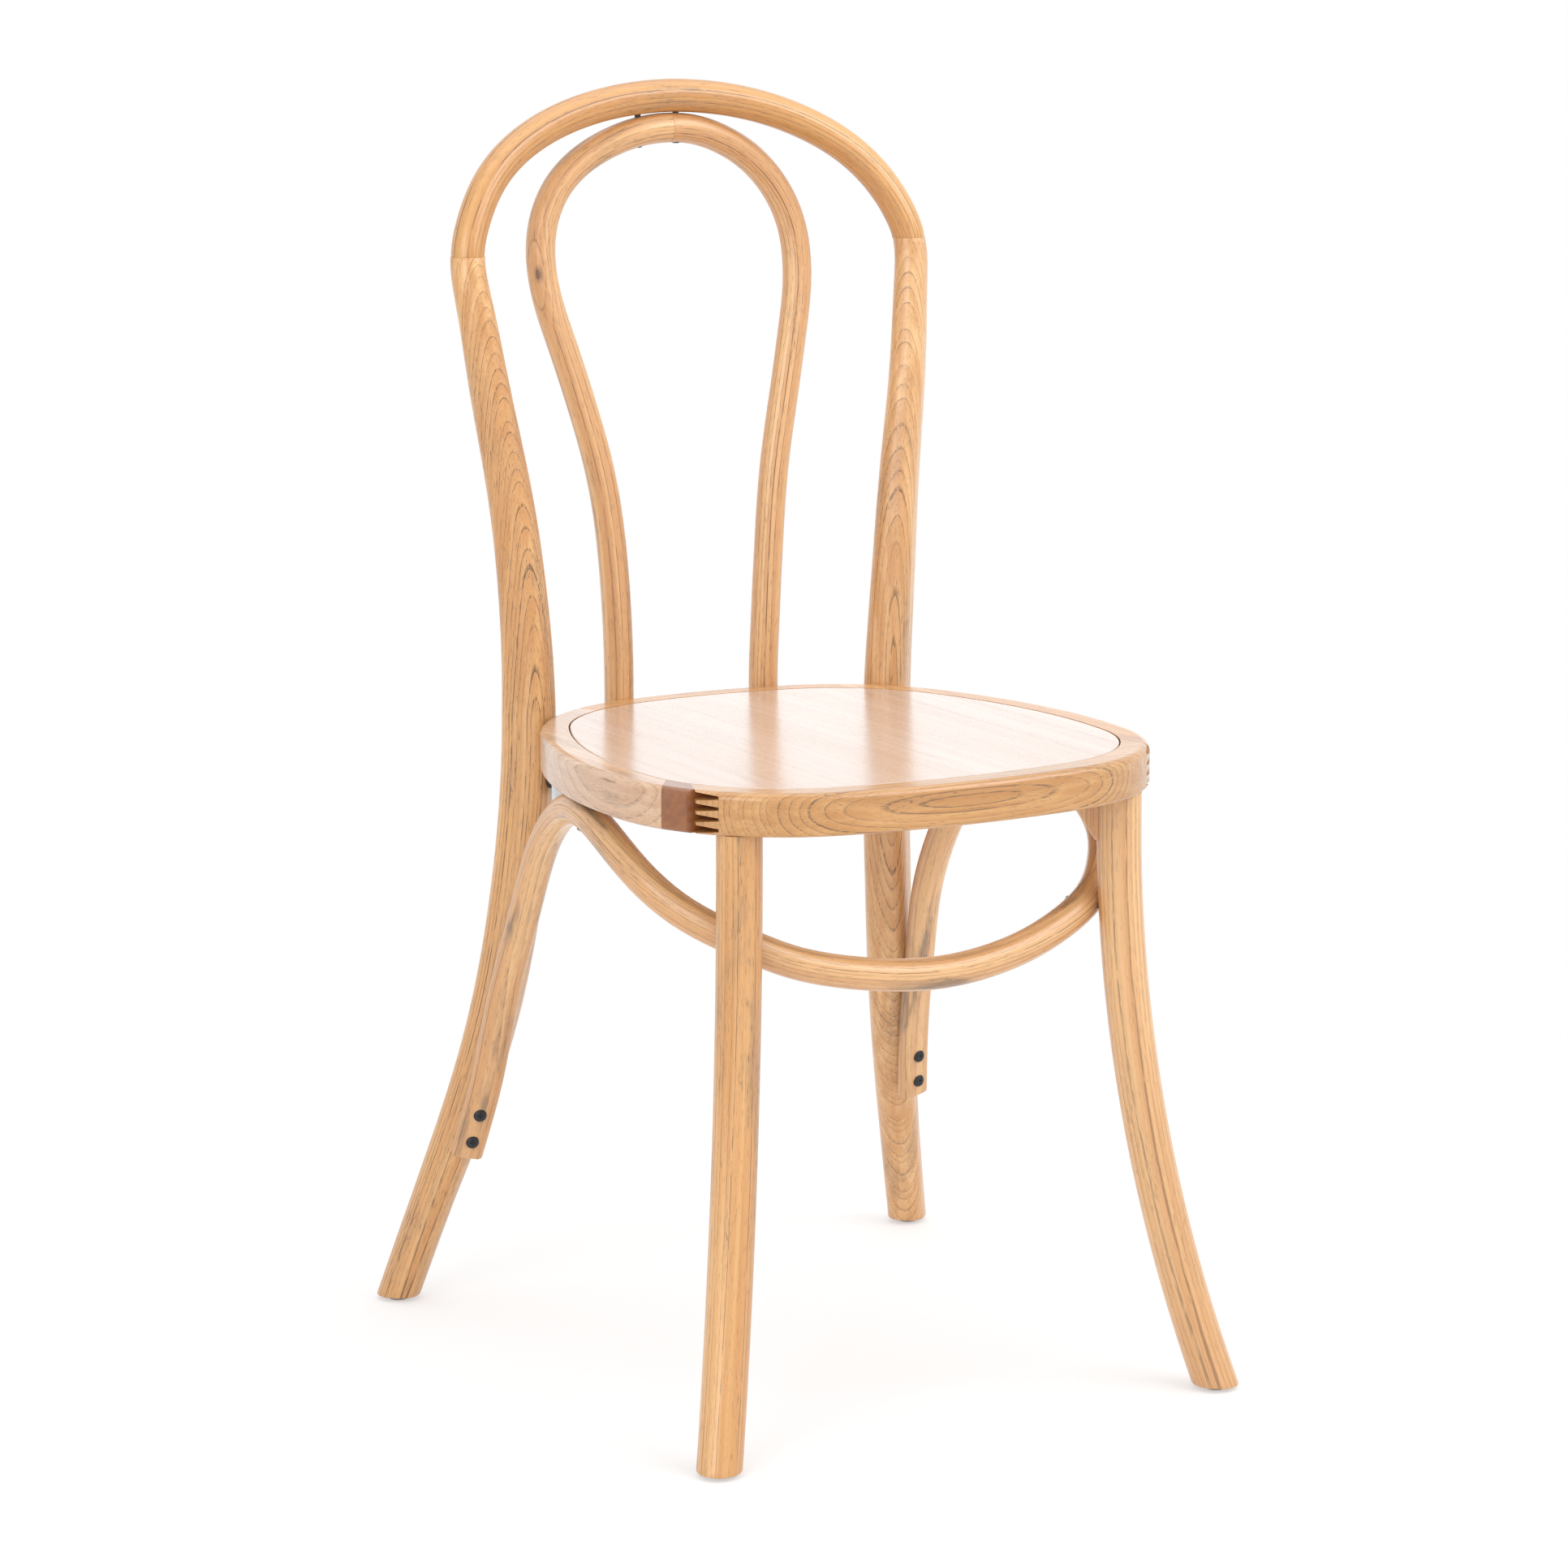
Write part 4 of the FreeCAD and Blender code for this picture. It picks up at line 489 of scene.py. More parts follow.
# %% [markdown]
# ## Small tools for nodes
# A finish is a graph of nodes. It could be wired by hand in the shader editor. In a script each
# node is three or four lines, so every kind that comes back gets a function, and a pattern then
# reads like a sum.

# %% Node helpers
def link_value(tree, socket, value):
    """Links a socket to another, or sets it when the value is a constant."""
    if isinstance(value, bpy.types.NodeSocket):
        tree.links.new(value, socket)
    else:
        socket.default_value = value


def math_node(tree, operation, first, second=None, clamp=False):
    node = tree.nodes.new("ShaderNodeMath")
    node.operation = operation
    node.use_clamp = clamp
    link_value(tree, node.inputs[0], first)
    if second is not None:
        link_value(tree, node.inputs[1], second)
    return node.outputs[0]


def scaled(tree, value, reach, middle=0.5):
    """A noise value turned into a deviation to both sides of zero."""
    return math_node(tree, "MULTIPLY", math_node(tree, "SUBTRACT", value, middle), reach)


def stretched(tree, vector, scale, move=(0, 0, 0)):
    node = tree.nodes.new("ShaderNodeMapping")
    tree.links.new(vector, node.inputs["Vector"])
    node.inputs["Scale"].default_value = scale
    node.inputs["Location"].default_value = move
    return node.outputs["Vector"]


def noise(tree, place, repeats, detail, roughness=0.55, move=(0, 0, 0)):
    """Soft noise that changes about as often per metre as its three repeats say."""
    node = tree.nodes.new("ShaderNodeTexNoise")
    tree.links.new(stretched(tree, place, repeats, move), node.inputs["Vector"])
    node.inputs["Scale"].default_value = 1.0
    node.inputs["Detail"].default_value = detail
    node.inputs["Roughness"].default_value = roughness
    return node.outputs["Fac"]


def ramp(tree, value, stops):
    """Turns a value into another by stops of (value in, value out)."""
    node = tree.nodes.new("ShaderNodeValToRGB")
    tree.links.new(value, node.inputs["Fac"])
    node.color_ramp.interpolation = "EASE"
    elements = node.color_ramp.elements
    while len(elements) < len(stops):
        elements.new(0.5)
    for element, (place, level) in zip(elements, stops):
        element.position = place
        element.color = (level, level, level, 1)
    return node.outputs["Color"]


def mix(tree, amount, first, second):
    node = tree.nodes.new("ShaderNodeMix")
    node.data_type = "RGBA"
    link_value(tree, node.inputs[0], amount)
    for socket, value in ((node.inputs[6], first), (node.inputs[7], second)):
        link_value(tree, socket, value if isinstance(value, bpy.types.NodeSocket) else (*value, 1))
    return node.outputs[2]


def new_material(name, base, roughness, metallic=0.0):
    material = bpy.data.materials.new(name)
    material.use_nodes = True
    material.diffuse_color = (*base, 1)
    shader = material.node_tree.nodes["Principled BSDF"]
    shader.inputs["Base Color"].default_value = (*base, 1)
    shader.inputs["Roughness"].default_value = roughness
    shader.inputs["Metallic"].default_value = metallic
    return material, material.node_tree, shader


print("operations that a Math node offers:", len(
    bpy.types.ShaderNodeMath.bl_rna.properties["operation"].enum_items))

# %% [markdown]
# ## Growth rings
# Wood shows its years wherever it is cut: straight lines on one face, long arches on the next. A
# photo of boards wrapped on each piece could show that, but it would not go on round an edge. So
# the figure is solid: rings lie round a heart line beside the stick, and whatever surface cuts
# them shows the right lines. Slow noise bends the rings, because no tree grows evenly.

# %% Patterns in the stick
# Repeats per metre (across, across, along), detail and roughness
PATTERNS = {
    "drift": ((24, 24, 1.8), 1.0, 0.55),
    "wobble": ((75, 75, 9), 3.0, 0.55),
    "band": ((170, 170, 2.5), 2.0, 0.5),
    "fibre": ((520, 520, 7), 4.0, 0.6),
    "dash": ((900, 900, 55), 2.0, 0.6),
    "pepper": ((1500, 1500, 110), 2.0, 0.6),
    "cloud": ((42, 42, 8), 4.0, 0.6),
}


def pattern(tree, place, name, move=(0, 0, 0)):
    return noise(tree, place, *PATTERNS[name], move)


def along_axes(tree, origin, across, up, along):
    """Place in the object, measured from an origin along three directions of the board."""
    where = tree.nodes.new("ShaderNodeTexCoord").outputs["Object"]
    moved = stretched(tree, where, (1, 1, 1), [-value for value in origin])
    merged = tree.nodes.new("ShaderNodeCombineXYZ")
    for index, direction in enumerate((across, up, along)):
        dot = tree.nodes.new("ShaderNodeVectorMath")
        dot.operation = "DOT_PRODUCT"
        tree.links.new(moved, dot.inputs[0])
        dot.inputs[1].default_value = direction
        tree.links.new(dot.outputs["Value"], merged.inputs[index])
    return merged.outputs[0]


def stick_place(tree, axes):
    """Place in the straight stick: stored in the swept skins, worked out for the boards."""
    if axes:
        return along_axes(tree, *axes)
    where = tree.nodes.new("ShaderNodeAttribute")
    where.attribute_name = "grain"
    return where.outputs["Vector"]


print("patterns:", ", ".join(PATTERNS))

# %% Growth rings
# Slow and quick waves of the rings, in ring widths
RING_DRIFT = 1.2
RING_WOBBLE = 0.35
# Wide and narrow years: how soon they change, and by how much
YEAR_CHANGE = 0.55
YEAR_REACH = 1.4
# In a weak year the pores show only half as much
WEAKEST_YEAR = 0.5
# A knot pushes the rings outwards, in ring widths, and is drawn out along the stick
KNOT_BULGE = 2.2
KNOT_STRETCH = 0.5
KNOT_REACH = ((0.0, 1.0), (0.006, 0.5), (0.02, 0.0))


def distance_from(tree, first, second, centre):
    first = math_node(tree, "SUBTRACT", first, centre[0])
    second = math_node(tree, "SUBTRACT", second, centre[1])
    total = math_node(tree, "ADD", math_node(tree, "MULTIPLY", first, first),
                      math_node(tree, "MULTIPLY", second, second))
    return math_node(tree, "SQRT", total)


def knot_distance(tree, stick, spot):
    """Distance from a knot, which is twice as long as it is wide."""
    near = tree.nodes.new("ShaderNodeVectorMath")
    near.operation = "LENGTH"
    middle = (-spot[0], -spot[1], -KNOT_STRETCH * spot[2])
    tree.links.new(stretched(tree, stick, (1, 1, KNOT_STRETCH), middle), near.inputs[0])
    return near.outputs["Value"]


def growth_rings(tree, stick, drift, wobble, heart, spacing, knots):
    """Place within the year, from 0 to 1, and how strongly the pores of that year show."""
    parts = tree.nodes.new("ShaderNodeSeparateXYZ")
    tree.links.new(stick, parts.inputs[0])
    reach = distance_from(tree, parts.outputs[0], parts.outputs[1], heart)
    reach = math_node(tree, "ADD", reach, scaled(tree, drift, spacing * RING_DRIFT))
    reach = math_node(tree, "ADD", reach, scaled(tree, wobble, spacing * RING_WOBBLE))
    for spot in knots:
        near = ramp(tree, knot_distance(tree, stick, spot), KNOT_REACH)
        reach = math_node(tree, "ADD", reach, math_node(tree, "MULTIPLY", near, spacing * KNOT_BULGE))
    years = math_node(tree, "DIVIDE", reach, spacing)
    uneven = tree.nodes.new("ShaderNodeTexNoise")
    uneven.noise_dimensions = "1D"
    tree.links.new(years, uneven.inputs["W"])
    uneven.inputs["Scale"].default_value = YEAR_CHANGE
    years = math_node(tree, "ADD", years, scaled(tree, uneven.outputs["Fac"], YEAR_REACH))
    year = tree.nodes.new("ShaderNodeTexWhiteNoise")
    year.noise_dimensions = "1D"
    tree.links.new(math_node(tree, "FLOOR", years), year.inputs["W"])
    strength = math_node(tree, "MULTIPLY", year.outputs["Value"], 1 - WEAKEST_YEAR)
    strength = math_node(tree, "ADD", strength, WEAKEST_YEAR)
    return math_node(tree, "FRACT", years), strength


print("a ring drifts by up to", RING_DRIFT / 2, "rings")

# %% [markdown]
# ## Pores
# This wood has open pores: each spring it grows a row of wide ones, and stain darkens them to
# short dashes along the fibre. They could be drawn as lines. Real ones break off and start again,
# so a band in the early part of each year is cut up by long, thin noise. Loose pores lie between.

# %% Pores
# Ramps are stops of (value in, value out), and a year goes from 0 to 1
EARLY_WOOD = ((0.0, 0.1), (0.05, 1.0), (0.11, 0.85), (0.20, 0.0), (1.0, 0.0))
DASH_EDGES = ((0.36, 0.15), (0.54, 1.0))
LOOSE_EDGES = ((0.57, 0.0), (0.68, 1.0))
LOOSE_EVERYWHERE = 0.45
LOOSE_IN_CLOUDS = 0.7


def pores(tree, place, phase, strength, cloud):
    """Where a pore lies: rows in the early wood, and loose ones that gather in the clouds."""
    dashes = ramp(tree, pattern(tree, place, "dash"), DASH_EDGES)
    rows = math_node(tree, "MULTIPLY", ramp(tree, phase, EARLY_WOOD), dashes)
    rows = math_node(tree, "MULTIPLY", rows, strength)
    share = math_node(tree, "MULTIPLY", cloud, LOOSE_IN_CLOUDS)
    share = math_node(tree, "ADD", share, LOOSE_EVERYWHERE)
    loose = math_node(tree, "MULTIPLY", ramp(tree, pattern(tree, place, "pepper"), LOOSE_EDGES), share)
    return math_node(tree, "MAXIMUM", rows, loose, clamp=True)


print("early wood ends at", EARLY_WOOD[3][0], "of a year")

# %% [markdown]
# ## Tones and lacquer
# Between the pores the colour runs from light to amber in bands, with browner streaks, darker
# late wood, fine fibres and some grey clouds of dirt and stain. One colour with noise over it
# could do, but would look painted. Each layer here has its own cause and its own size. A thin
# clear lacquer lies on top: a coat over a duller wood, which sinks a little at each pore.

# %% Tones
LATE_WOOD = ((0.0, 0.15), (0.25, 0.0), (0.8, 0.55), (0.97, 1.0), (1.0, 0.15))
BAND_EDGES = ((0.34, 0.0), (0.66, 1.0))
STREAK_EDGES = ((0.35, 0.0), (0.7, 1.0))
# Shades are shares of the amber tone in red, green and blue
STREAK_SHADE = (0.86, 0.78, 0.70)
LATE_SHADE = (0.80, 0.66, 0.52)
LATE_SHARE = 0.38
FIBRE_SHADE = (0.78, 0.78, 0.78)
FIBRE_REACH = 0.9
FIBRE_MIDDLE = 0.42


def shaded(colour, shade):
    return [part * share for part, share in zip(colour, shade)]


def tones(tree, place, phase, drift, fibre, light, amber, streak):
    """Colour of the wood between its pores."""
    colour = mix(tree, ramp(tree, pattern(tree, place, "band"), BAND_EDGES), light, amber)
    brown = math_node(tree, "MULTIPLY", ramp(tree, drift, STREAK_EDGES), streak)
    colour = mix(tree, brown, colour, shaded(amber, STREAK_SHADE))
    late = math_node(tree, "MULTIPLY", ramp(tree, phase, LATE_WOOD), LATE_SHARE)
    colour = mix(tree, late, colour, shaded(amber, LATE_SHADE))
    return mix(tree, scaled(tree, fibre, FIBRE_REACH, FIBRE_MIDDLE), colour, shaded(amber, FIBRE_SHADE))


print("late wood darkens the tone by up to", LATE_SHARE)

# %% Lacquer
FIBRE_ROUGHNESS = 0.18
PORE_ROUGHNESS = 0.2
FIBRE_RELIEF = 0.4
RELIEF_STRENGTH = 0.30
RELIEF_DEPTH = 0.0002
LACQUER_ROUGHNESS = 0.20


def lacquer(tree, shader, fibre, pore, gloss, coat):
    """Roughness, relief and clear coat of the wood."""
    rough = math_node(tree, "ADD", scaled(tree, fibre, FIBRE_ROUGHNESS), gloss)
    dull = math_node(tree, "MULTIPLY", pore, PORE_ROUGHNESS)
    tree.links.new(math_node(tree, "ADD", rough, dull, clamp=True), shader.inputs["Roughness"])
    height = math_node(tree, "SUBTRACT", math_node(tree, "MULTIPLY", fibre, FIBRE_RELIEF), pore)
    bump = tree.nodes.new("ShaderNodeBump")
    bump.inputs["Strength"].default_value = RELIEF_STRENGTH
    bump.inputs["Distance"].default_value = RELIEF_DEPTH
    tree.links.new(height, bump.inputs["Height"])
    tree.links.new(bump.outputs["Normal"], shader.inputs["Normal"])
    shader.inputs["Coat Weight"].default_value = coat
    shader.inputs["Coat Roughness"].default_value = LACQUER_ROUGHNESS


print("relief of a pore:", RELIEF_DEPTH, "m")

# %% Wood
PORE = (0.085, 0.040, 0.018)
GREY = (0.300, 0.180, 0.095)
KNOT = (0.09, 0.04, 0.02)
KNOT_CORE = ((0.0, 1.0), (0.0022, 0.9), (0.0042, 0.0))
CLOUD_MOVE = (0.3, 0.1, 0.7)
CLOUD_EDGES = ((0.52, 0.0), (0.68, 1.0))


def wood(name, light, amber, heart=(0.0, 0.055), spacing=0.0034, shift=(0, 0, 0), axes=None,
         lines=0.75, grey=0.35, streak=0.6, gloss=0.42, coat=0.70, knots=()):
    """Open-pored wood under lacquer. Colours are linear; heart, spacing and shift are metres."""
    material, tree, shader = new_material(name, amber, gloss)
    stick = stick_place(tree, axes)
    place = stretched(tree, stick, (1, 1, 1), shift)
    drift = pattern(tree, place, "drift")
    wobble = pattern(tree, place, "wobble")
    fibre = pattern(tree, place, "fibre")
    cloud = ramp(tree, pattern(tree, place, "cloud", CLOUD_MOVE), CLOUD_EDGES)
    phase, strength = growth_rings(tree, stick, drift, wobble, heart, spacing, knots)
    pore = pores(tree, place, phase, strength, cloud)
    colour = tones(tree, place, phase, drift, fibre, light, amber, streak)
    colour = mix(tree, math_node(tree, "MULTIPLY", cloud, grey), colour, GREY)
    colour = mix(tree, math_node(tree, "MULTIPLY", pore, lines), colour, PORE)
    for spot in knots:
        colour = mix(tree, ramp(tree, knot_distance(tree, stick, spot), KNOT_CORE), colour, KNOT)
    tree.links.new(colour, shader.inputs["Base Color"])
    lacquer(tree, shader, fibre, pore, gloss, coat)
    return material


print("a knot's core ends", KNOT_CORE[-1][0], "m from its middle")

# %% [markdown]
# ## The sticks of this chair
# No two pieces come from the same board: the arch is tan, the hoop and the brace are paler, the
# left legs are honey with strong lines, and a small knot sits in the left half of the hoop. One
# wood for all could be used, but the eye would find the repeats. Each stick gets its own heart,
# tones and place in the tree. A heart close to the stick gives arches, a far one straight lines.

# %% Woods of the sticks
HONEY = (0.765, 0.455, 0.195)
AMBER = (0.615, 0.305, 0.105)
PALE = ((0.785, 0.490, 0.235), (0.640, 0.335, 0.140))
TAN = ((0.720, 0.410, 0.155), (0.580, 0.275, 0.080))
# Honey made lighter for the right rear leg: painted light that lifts the shade the seat casts on its
# lower part
HONEY_WITH_PAINTED_LIGHT = ((0.790, 0.490, 0.235), (0.650, 0.345, 0.135))
BENT_SPACING = 0.0030
HOOP_KNOTS = ((0.0084, -0.0068, 0.3418),)

# After the two tones: place of the heart, width of a ring, and place in the tree
stick_wood = {
    "arch": wood("wood_arch", *TAN, (0.018, 0.022), BENT_SPACING, lines=0.8, grey=0.5),
    "hoop_left": wood("wood_hoop_left", *PALE, (-0.012, 0.020), BENT_SPACING, (0.2, 0.1, 3),
                      lines=0.9, grey=0.5, knots=HOOP_KNOTS),
    "hoop_right": wood("wood_hoop_right", *PALE, (0.022, 0.010), BENT_SPACING, (0.4, 0.2, 7),
                       lines=0.9, grey=0.3),
    "brace": wood("wood_brace", *PALE, (0.010, 0.022), BENT_SPACING, (0.1, 0.5, 11),
                  lines=0.72, grey=1.1),
    "rear_leg_left": wood("wood_rear_leg_left", HONEY, AMBER, (0.024, 0.0), 0.0032, (0, 0, 2),
                          lines=0.95, grey=0.25),
    # The right rear leg's lighter tones are painted light against the shade under the seat
    "rear_leg_right": wood("wood_rear_leg_right", *HONEY_WITH_PAINTED_LIGHT, (0.022, 0.012), 0.0032, (0.01, 0, 5),
                           lines=0.75, grey=0.3),
    "front_leg_left": wood("wood_front_leg_left", HONEY, AMBER, (0.05, 0.03), 0.0034, (0.3, 0.3, 4),
                           lines=0.8, grey=0.6),
    "front_leg_right": wood("wood_front_leg_right", *PALE, (0.012, -0.035), 0.0036, (0.6, 0.1, 9),
                            lines=0.6, grey=0.1),
}
print("woods of the sticks:", len(stick_wood))

# %% [markdown]
# ## Arch and hoop
# Both are round rods, steamed and bent round a mould. The solids could be shaded as they are, but
# their triangles carry no grain. So each is swept along its line, with the front of the chair as
# the hint that keeps the rings from twisting. The mirrored half of the hoop is swept on its own,
# because it is a piece of its own and has its own wood.

# %% Arch and hoop
ARCH_RINGS = 181
HOOP_RINGS = 161
ARCH_ENDS = (0.0004, 0.0004)
HOOP_ENDS = (0.001, 0.0003)
TO_FRONT = np.array([0, -1.0, 0])
SIDES = (("right", np.array([1, 1, 1])), ("left", np.array([-1, 1, 1])))

joint_value = leg_knots[-1]
points, ways, run, _ = BACK_LINE.walk(ARCH_RINGS, joint_value, BACK_LINE.knots[-1] - joint_value)
ways[0], ways[-1] = (0, 0, 1), (0, 0, -1)
across, up = frames(ways, TO_FRONT)
round_arch = [outline(2 * ARCH_R, 2 * ARCH_R, ARCH_R)] * ARCH_RINGS
arch = sweep("arch_bent", points, across, up, round_arch, run, stick_wood["arch"], ARCH_ENDS)
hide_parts("back_arch")

points, ways, run, _ = HOOP_LINE.walk(HOOP_RINGS)
round_hoop = [outline(2 * HOOP_R, 2 * HOOP_R, HOOP_R)] * HOOP_RINGS
for name, turned in SIDES:
    across, up = frames(ways * turned, TO_FRONT)
    half = sweep(f"hoop_bent_{name}", points * turned, across, up, round_hoop, run,
                 stick_wood[f"hoop_{name}"], HOOP_ENDS)
    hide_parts(f"inner_hoop_{name}")
print("arch:", len(arch.data.polygons), "faces, hoop half:", len(half.data.polygons), "faces")

# %% [markdown]
# ## Brace
# The brace changes on its way: a flat strap where the screws go through it, a round rod from the
# seat on. Two shapes could be blended with a Boolean, which leaves a seam. Here width, depth and
# turn are mixed between the places where they are known, and each ring gets its own section.

# %% Brace
BRACE_RINGS = 321
BRACE_ENDS = (0.0018, 0.0018)
CORNER_SHARE = 0.49
CORNER_POWER = 1.5


def mixed(keys, knots, values):
    """Rows of values mixed between the places where they are given."""
    keys = np.array(keys, float)
    return np.column_stack([np.interp(values, knots, column) for column in keys.T])


points, ways, run, values = BRACE_LINE.walk(BRACE_RINGS)
shares = mixed([key[1:] for key in brace_keys], BRACE_LINE.knots, values)
across, up = frames(ways, np.array([plan_direction(turn) for turn in shares[:, 2]]))
sections = [outline(2 * BRACE_R * width, 2 * BRACE_R * depth,
                    2 * BRACE_R * CORNER_SHARE * depth ** CORNER_POWER)
            for width, depth in shares[:, :2]]
brace = sweep("brace_bent", points, across, up, sections, run, stick_wood["brace"], BRACE_ENDS)
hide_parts("leg_brace")
print("brace:", len(brace.data.polygons), "faces")

# %% [markdown]
# ## Rear legs
# The rear legs are sawn from a thick plank and then shaped, so their fibres run straight through
# the curves and come out at the surface as long arches. Swept like the rods, they would look bent.
# So each vertex stores its place in the plank instead: through it, across it and along it. Above
# the seat the grain leans with the leg. Below it the lines of the left leg follow its curve, as
# they do in the photograph, and those of the right leg run straight down.

# %% Rear legs
REAR_LEG_RINGS = 201
REAR_LEG_ENDS = (0.0012, 0.0003)
# Lean of the plank, direction of its face, and whether the grain follows the leg below the seat
PLANKS = {"right": (0.03, 225, False), "left": (0.13, 256, True)}


def plank_grain(anchor, tilt, face, follow):
    """Grain places of a sawn leg, for the places of one ring."""
    def places(ring):
        centre = ring.mean(axis=0)
        away = ring - (centre if follow and centre[2] < SEAT_TOP else anchor)
        lean = tilt * np.maximum(ring[:, 2] - SEAT_TOP, 0)
        return np.column_stack([away @ plan_direction(face) - lean,
                                away @ plan_direction(face + 90), ring[:, 2]])
    return places


points, ways, run, values = BACK_LINE.walk(REAR_LEG_RINGS, 0, joint_value)
shares = mixed(leg_sections, leg_knots, values)
sections = [outline(LEG_WIDTH * width, LEG_DEPTH * depth / way[2], LEG_ROUND * radius)
            for (width, depth, radius), way in zip(shares, ways)]
for name, turned in SIDES:
    across = np.broadcast_to(plan_direction(LEG_TURN - 90) * turned, points.shape)
    up = np.broadcast_to(plan_direction(LEG_TURN) * turned, points.shape)
    leg = sweep(f"rear_leg_{name}_sawn", points * turned, across, up, sections, run,
                stick_wood[f"rear_leg_{name}"], REAR_LEG_ENDS,
                plank_grain(LEG_ANCHOR * turned, *PLANKS[name]))
    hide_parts(f"rear_leg_{name}")
print("rear leg:", len(leg.data.polygons), "faces")

# %% [markdown]
# ## Front legs
# A front leg is turned round, and under the seat a haunch widens it on its inner side, where the
# frame rests. A block could be joined to the round leg, but the real haunch is carved from the
# same wood. So it is pulled out of the same skin: each ring keeps whichever stands further out,
# the round of the leg or the haunch.

# %% Front leg sections
FRONT_LEG_POINTS = 128
HAUNCH_LENGTH = 0.0205
HAUNCH_WIDTH = 0.022
HAUNCH_ROUND = 0.0044
# Distances under the seat, and how far the haunch stands out of the round at each
HAUNCH_DROPS = (0, 0.0023, 0.019, 0.0334)
HAUNCH_REACHES = (HAUNCH_LENGTH, HAUNCH_LENGTH, HAUNCH_LENGTH / 2, 0)


def front_leg_section(height, stretch):
    """Round of the leg, or the haunch where that stands further out."""
    angles = np.linspace(0, 2 * math.pi, FRONT_LEG_POINTS, endpoint=False)
    circle = np.column_stack([np.cos(angles) * FRONT_LEG_R * stretch, np.sin(angles) * FRONT_LEG_R])
    reach = np.interp(SEAT_BOTTOM - height, HAUNCH_DROPS, HAUNCH_REACHES)
    if reach <= 0:
        return circle
    haunch = outline(2 * (FRONT_LEG_R + reach), HAUNCH_WIDTH, HAUNCH_ROUND, FRONT_LEG_POINTS)
    outside = np.linalg.norm(haunch, axis=1) > FRONT_LEG_R
    return np.where((haunch[:, :1] < 0) & outside[:, None], haunch, circle)


print("haunch:", HAUNCH_LENGTH, "m beyond the round")

# %% Front legs
FINE_FROM = 0.36
PLAIN_RINGS = 110
FINE_RINGS = 70
TOP_PLAY = 0.0001
FRONT_LEG_ENDS = (0.0012, 0.0002)

heights = np.concatenate([np.linspace(GLIDE_HEIGHT, FINE_FROM, PLAIN_RINGS),
                          np.linspace(FINE_FROM, SEAT_BOTTOM - TOP_PLAY, FINE_RINGS)[1:]])
points = np.array([front_leg_axis(height) for height in heights])
slope = np.gradient(points, axis=0)
slope /= np.linalg.norm(slope, axis=1)[:, None]
run = np.concatenate([[0], np.cumsum(np.linalg.norm(np.diff(points, axis=0), axis=1))])
sections = [front_leg_section(height, 1 / way[2]) for height, way in zip(heights, slope)]
for name, turned in SIDES:
    outward = FRONT_OUT * turned
    across = np.broadcast_to(outward, points.shape)
    up = np.broadcast_to(np.array([-outward[1], outward[0], 0]), points.shape)
    leg = sweep(f"front_leg_{name}_bent", points * turned, across, up, sections, run,
                stick_wood[f"front_leg_{name}"], FRONT_LEG_ENDS)
    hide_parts(f"front_leg_{name}")
print("front leg:", len(leg.data.polygons), "faces")

# %% [markdown]
# ## Seat frame and panel
# The frame is glued from straight boards with fingers in the corners, and one short block on the
# left is much darker than its neighbours. The panel is veneered board. The rails could be unwrapped
# for a texture. They are straight cuts of straight wood, so the place in the object, turned to run
# along each board, gives a grain that fits on every face and finger.

# %% Boards of the seat
RAIL_MIDDLE = (SEAT_TOP + SEAT_BOTTOM) / 2
UP = (0, 0, 1)
# A place on each board, then its directions across, up and along
front_board = ((0, -0.2322, RAIL_MIDDLE + 0.003), (0, 1, 0), UP, (1, 0, 0))
rear_board = ((0, 0.17, RAIL_MIDDLE), (0, -1, 0), UP, (1, 0, 0))
side_board = ((-0.2, -0.05, RAIL_MIDDLE), (1, 0.05, 0), UP, (-0.05, 1, 0))
panel_board = ((0, 0, SEAT_TOP), (0, 0, -1), (1, 0, 0), (0, 1, 0))
FRONT_TONES = ((0.620, 0.335, 0.118), (0.520, 0.250, 0.072))
LEFT_TONES = ((0.740, 0.520, 0.350), (0.600, 0.370, 0.225))
DARK_TONES = ((0.305, 0.096, 0.014), (0.245, 0.072, 0.010))
BLOCK_TONES = ((0.560, 0.300, 0.125), (0.460, 0.225, 0.085))
PANEL_TONES = ((0.655, 0.500, 0.415), (0.590, 0.430, 0.345))
print("middle of the rails:", RAIL_MIDDLE)

# %% Seat woods
seat_looks = {
    "seat_front_rail": wood("wood_front_rail", *FRONT_TONES, (0.0, 0.0), 0.0031, (0, 0.19, 0),
                            front_board, lines=0.85, grey=0.15, coat=1.0),
    "seat_rear_rail": wood("wood_rear_rail", HONEY, AMBER, (-0.05, 0.01), 0.004, (0.1, -0.12, 1),
                           rear_board),
    "seat_side_rail_left": wood("wood_side_left", *LEFT_TONES, (-0.07, 0.02), 0.0036, (0.2, 0, 2),
                                side_board, lines=0.8, grey=0.75, coat=1.0),
    "seat_side_rail_right": wood("wood_side_right", HONEY, AMBER, (-0.06, 0.03), 0.0036,
                                 (-0.15, 0, 4), side_board),
    "seat_corner_block_left": wood("wood_block_left", *DARK_TONES, (-0.05, 0.02), 0.003,
                                   (0.3, 0, 1), side_board, lines=0.6, grey=0.1, coat=1.0),
    "seat_corner_block_right": wood("wood_block_right", *BLOCK_TONES, (-0.05, 0.02), 0.003,
                                    (0.5, 0, 6), side_board, lines=0.6, grey=0.1),
    "seat_panel": wood("wood_panel", *PANEL_TONES, (0.55, 0.0), 0.011, (0, 0, 0), panel_board,
                       lines=0.25, grey=0.1, streak=0.4, gloss=0.26, coat=1.0),
    "arch_dowels": wood("wood_dowel", HONEY, AMBER, axes=rear_board),
}


def set_finish(name, look):
    """Gives a solid of the frame its finish."""
    mesh = nodes[name].data
    mesh.materials.clear()
    mesh.materials.append(look)


for name, look in seat_looks.items():
    set_finish(name, look)
print("seat pieces:", len(seat_looks))

